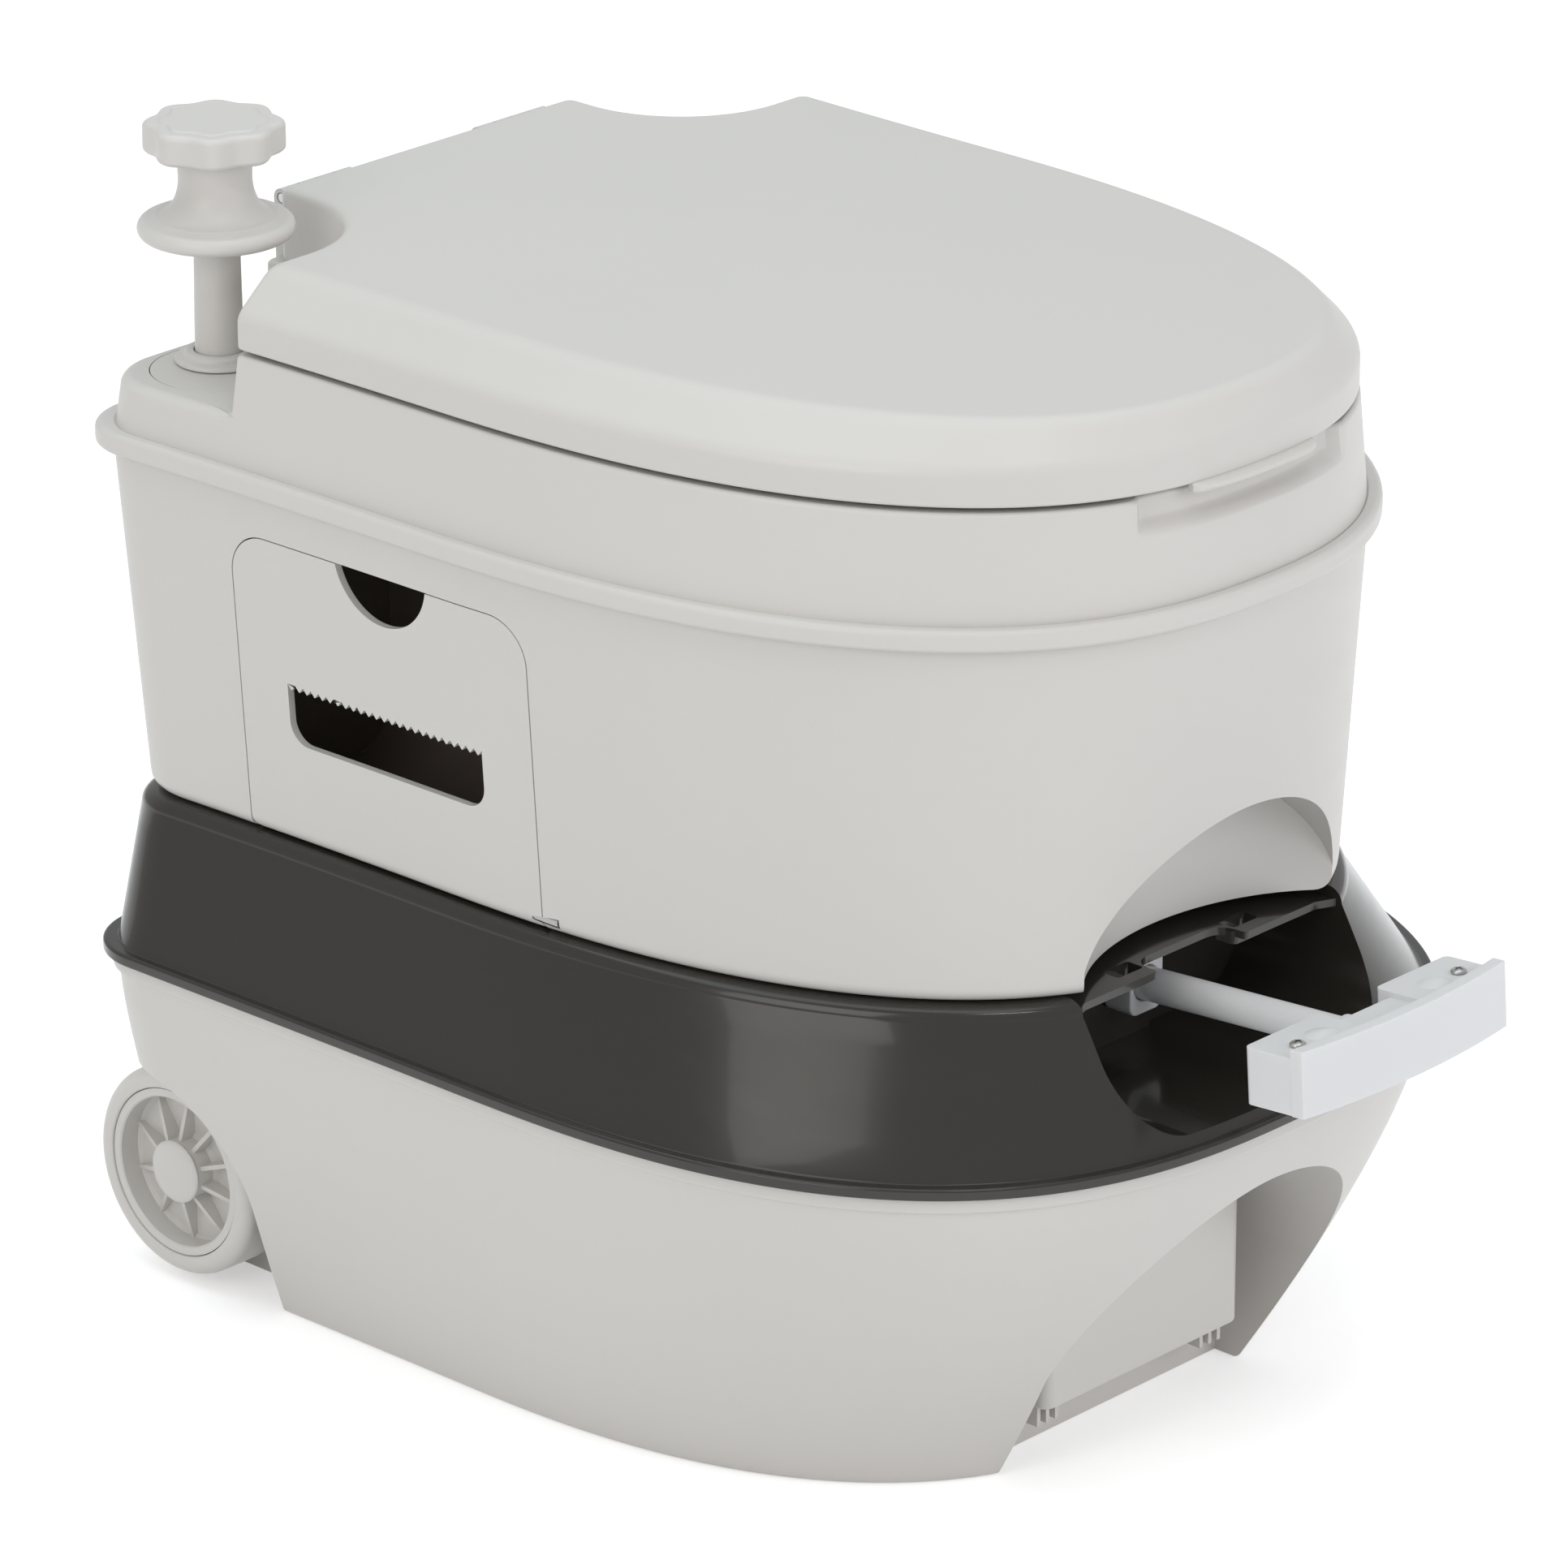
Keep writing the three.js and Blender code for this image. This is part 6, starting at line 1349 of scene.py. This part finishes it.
# Vent button beside it: a round head on a shaft that is pressed in
vent = Sizes(foot=204.3, head=209.3, radius=8.5, shaft=4.0, inner=7.0, innerFoot=183.9, innerHead=185.9)
ventPiece = turned([
    (0.1, vent.innerFoot), (vent.inner, vent.innerFoot), (vent.inner, vent.innerHead),
    (vent.shaft, vent.innerHead), (vent.shaft, vent.foot), (vent.radius - 0.5, vent.foot),
    (vent.radius, vent.foot + 0.5), (vent.radius, vent.head - 1.2), (vent.radius - 0.4, vent.head - 0.4),
    (vent.radius - 1.3, vent.head), (4.5, vent.head - 0.3), (0.1, vent.head - 0.5),
], ventPlace, "y", 56, close=False)
finishPiece(ventPiece, "ventButton", "vent_button", ["vent_button"], "inner_plastic", angle=40)
print("spout and vent", len(spoutCap.data.polygons))

# Bowl: an oval hopper that widens from the outlet by a power curve, with a flange that lies on the deck
bowl = Sizes(
    foot=215.1, top=391.8, wall=2.6, half=106.0, length=124.0, centreY=-30.0, outlet=28.0, outletY=-48.0,
    flare=0.55, flange=9.0, flangeLow=389.8, spigot=31.0, spigotFoot=206.9, nozzle=7.3, nozzleZ=372.5,
    rimSoft=0.9,
)


def bowlRing(level, margin, height):
    width = level ** bowl.flare
    centre = bowl.outletY + (bowl.centreY - bowl.outletY) * width
    half, length = (
        bowl.outlet + (reach - bowl.outlet) * width + margin for reach in (bowl.half, bowl.length)
    )
    return ellipseRing(half, length, centre, height)


# A level ring of the hopper's mouth, grown by a margin.
def mouthRing(margin, height):
    return ellipseRing(bowl.half + margin, bowl.length + margin, bowl.centreY, height)


def bowlPiece():
    wall, foot, rim = bowl.wall, bowl.foot, levels.platform
    share = np.linspace(0.015, 1, 26) ** 1.8
    soft, low, floor = bowl.rimSoft, bowl.top - bowl.rimSoft, foot + wall
    rings = [ellipseRing(bowl.spigot, bowl.spigot, bowl.outletY, z) for z in (bowl.spigotFoot, foot - 0.5)]
    rings += [bowlRing(s, wall, foot + (rim - foot) * s) for s in share]
    rings += [mouthRing(wall + 0.4, bowl.flangeLow), mouthRing(bowl.flange, bowl.flangeLow)]
    rings += [mouthRing(bowl.flange - run, low + rise) for run, rise in quarter(soft, soft, 5)]
    rings += [mouthRing(run, low + rise) for run, rise in quarter(soft, soft, 5)[::-1]]
    rings += [bowlRing(s, 0, floor + (rim - floor) * s) for s in share[::-1]]
    rings += [ellipseRing(bowl.outlet, bowl.outlet, bowl.outletY, z) for z in (floor - 0.4, bowl.spigotFoot)]
    return cut(ringSolid(rings, loop=True), cylinder(bowl.nozzle, 20, 150, (0, 0, bowl.nozzleZ), count=40))


bowlBody = bowlPiece()
finishPiece(bowlBody, "bowlHopper", "upper_unit", ["bowl"], "white_plastic", angle=50)

# Flush nozzle: a short tube through the bowl's rear wall, open above at its mouth
nozzle = Sizes(radius=7.0, bore=5.5, front=80.0, rear=108.0, mouth=87.0)
nozzlePiece = turned([
    (nozzle.bore, nozzle.front), (nozzle.radius, nozzle.front), (nozzle.radius, nozzle.rear),
    (nozzle.bore, nozzle.rear),
], (0, 0, bowl.nozzleZ), "y", 48)
cut(nozzlePiece, block(-14, 14, nozzle.front - 5, nozzle.mouth, bowl.nozzleZ, bowl.nozzleZ + 14))
finishPiece(nozzlePiece, "flushNozzle", "upper_unit", ["flush_nozzle"], "white_plastic", edge=0.3, angle=40)
print("bowl", len(bowlBody.data.polygons))

# Filler: a flanged neck let into the right rear pad, and its ribbed screw cap
filler = Sizes(
    radius=21.0, bore=17.0, flange=25.0, foot=349.0, flangeTop=369.3, head=377.0, ceiling=379.1, ribs=12,
    capFoot=369.6,
)
neckPiece = turned([
    (filler.bore, filler.foot), (filler.radius, filler.foot), (filler.radius, levels.pad + 0.3),
    (filler.flange, levels.pad + 0.3), (filler.flange, levels.pad + 1.6),
    (filler.flange - 0.7, filler.flangeTop), (filler.radius, filler.flangeTop),
    (filler.radius, filler.head - 0.5), (filler.radius - 0.5, filler.head), (filler.bore, filler.head),
], fillerPlace, "z", 72)
finishPiece(neckPiece, "fillerNeck", "upper_unit", ["fill_neck"], angle=40)
fillCap = screwCap(
    filler.flange, filler.radius + 0.5, filler.capFoot, filler.ceiling, filler.ceiling + spout.capWall,
    filler.ribs, fillerPlace, "z",
)
finishPiece(fillCap, "fillerCap", "fill_cap", ["fill_cap"], angle=40)
print("filler", len(fillCap.data.polygons))

# Every CAD node that is still shown gets its slot's finish.
slotOf = {entry["node"]: entry["material_slot"] for entry in frame["record"]["subparts"]}
for name, piece in frame["nodes"].items():
    piece.data.materials.clear()
    piece.data.materials.append(finishes[slotOf[name]])


# Camera, floor and lamps

# A place that looks from its start towards its end, in metres.
def aimed(start, end):
    start, end = Vector(start), Vector(end)
    return Matrix.Translation(start) @ (end - start).to_track_quat("-Z", "Y").to_matrix().to_4x4()


# One for a ray of any of the kinds.
def rayMask(tree, *kinds):
    rays = addNode(tree, "LightPath", {}).outputs
    seen = rays[kinds[0]]
    for kind in kinds[1:]:
        seen = addNode(tree, "Math", {0: seen, 1: rays[kind]}, operation="MAXIMUM").outputs[0]
    return seen


# An empty tree of nodes for a material or a world.
def emptyTree(owner):
    owner.use_nodes = True
    owner.node_tree.nodes.clear()
    return owner.node_tree


view = Sizes(lens=201.0, sensor=36, place=(-2238.1, -2088.1, 1434.8), target=(-2.1, 0.0, 208.0))
camera = bpy.data.objects.new("camera", bpy.data.cameras.new("camera"))
scene.collection.objects.link(camera)
scene.camera = camera
camera.data.sensor_width = view.sensor
camera.data.lens = view.lens
camera.data.clip_end = 100
camera.data.dof.use_dof = False
camera.matrix_world = aimed(*[(np.array(v) - middle) / 1000 for v in (view.place, view.target)])
scene.view_settings.view_transform = "Standard"

floorSizes = Sizes(half=30.0, colour=0.88, glow=0.42, level=-0.0002)
half = floorSizes.half
floorMesh = bpy.data.meshes.new("floorSheet")
corners = [(-half, -half, 0), (half, -half, 0), (half, half, 0), (-half, half, 0)]
floorMesh.from_pydata(corners, [], [(0, 1, 2, 3)])
floorSheet = bpy.data.objects.new("floorSheet", floorMesh)
scene.collection.objects.link(floorSheet)
floorSheet.location.z = floorSizes.level
paper = bpy.data.materials.new("studioPaper")
tree = emptyTree(paper)
diffuse = addNode(tree, "BsdfDiffuse", {"Color": (floorSizes.colour,) * 3 + (1,)})
seen = rayMask(tree, "Is Camera Ray", "Is Glossy Ray", "Is Transmission Ray")
strength = addNode(tree, "Math", {0: seen, 1: floorSizes.glow}, operation="MULTIPLY")
glow = addNode(tree, "Emission", {"Strength": strength.outputs[0]})
both = addNode(tree, "AddShader", {0: diffuse.outputs[0], 1: glow.outputs[0]})
addNode(tree, "OutputMaterial", {"Surface": both.outputs[0]})
floorMesh.materials.append(paper)

world = bpy.data.worlds.new("studioAir")
scene.world = world
tree = emptyTree(world)
air = addNode(tree, "Background", {"Color": (0.97, 0.985, 1.0, 1), "Strength": 0.58})
white = addNode(tree, "Background", {"Color": (1, 1, 1, 1), "Strength": 1.0})
seen = rayMask(tree, "Is Camera Ray", "Is Transmission Ray")
choice = addNode(tree, "MixShader", {"Fac": seen, 1: air.outputs[0], 2: white.outputs[0]})
addNode(tree, "OutputWorld", {"Surface": choice.outputs[0]})

lamps = dict(
    over=Sizes(
        place=(-0.2, 0.3, 2.3), aim=0.3, size=(2.2, 2.2), watts=16.5, colour=(0.86, 0.985, 1.0), glossy=True,
    ),
    left=Sizes(
        place=(-2.4, -0.3, 1.3), aim=0.25, size=(1.4, 1.6), watts=13.5, colour=(1, 0.955, 0.925), glossy=True,
    ),
    front=Sizes(
        place=(0.6, -2.6, 1.2), aim=0.25, size=(1.6, 1.4), watts=20, colour=(0.975, 0.96, 1), glossy=False,
    ),
    strip=Sizes(
        place=(-0.7, -1.3, 2.3), aim=0.2, size=(0.6, 0.09), watts=2.4, colour=(1, 1, 1), glossy=True,
    ),
)
for name, lamp in lamps.items():
    light = bpy.data.lights.new(name, "AREA")
    light.shape = "RECTANGLE"
    light.size, light.size_y = lamp.size
    light.energy = lamp.watts
    light.color = lamp.colour
    holder = bpy.data.objects.new(name, light)
    scene.collection.objects.link(holder)
    holder.visible_glossy = lamp.glossy
    holder.matrix_world = aimed(lamp.place, (0, 0, lamp.aim))
print("camera, floor and lamps set")
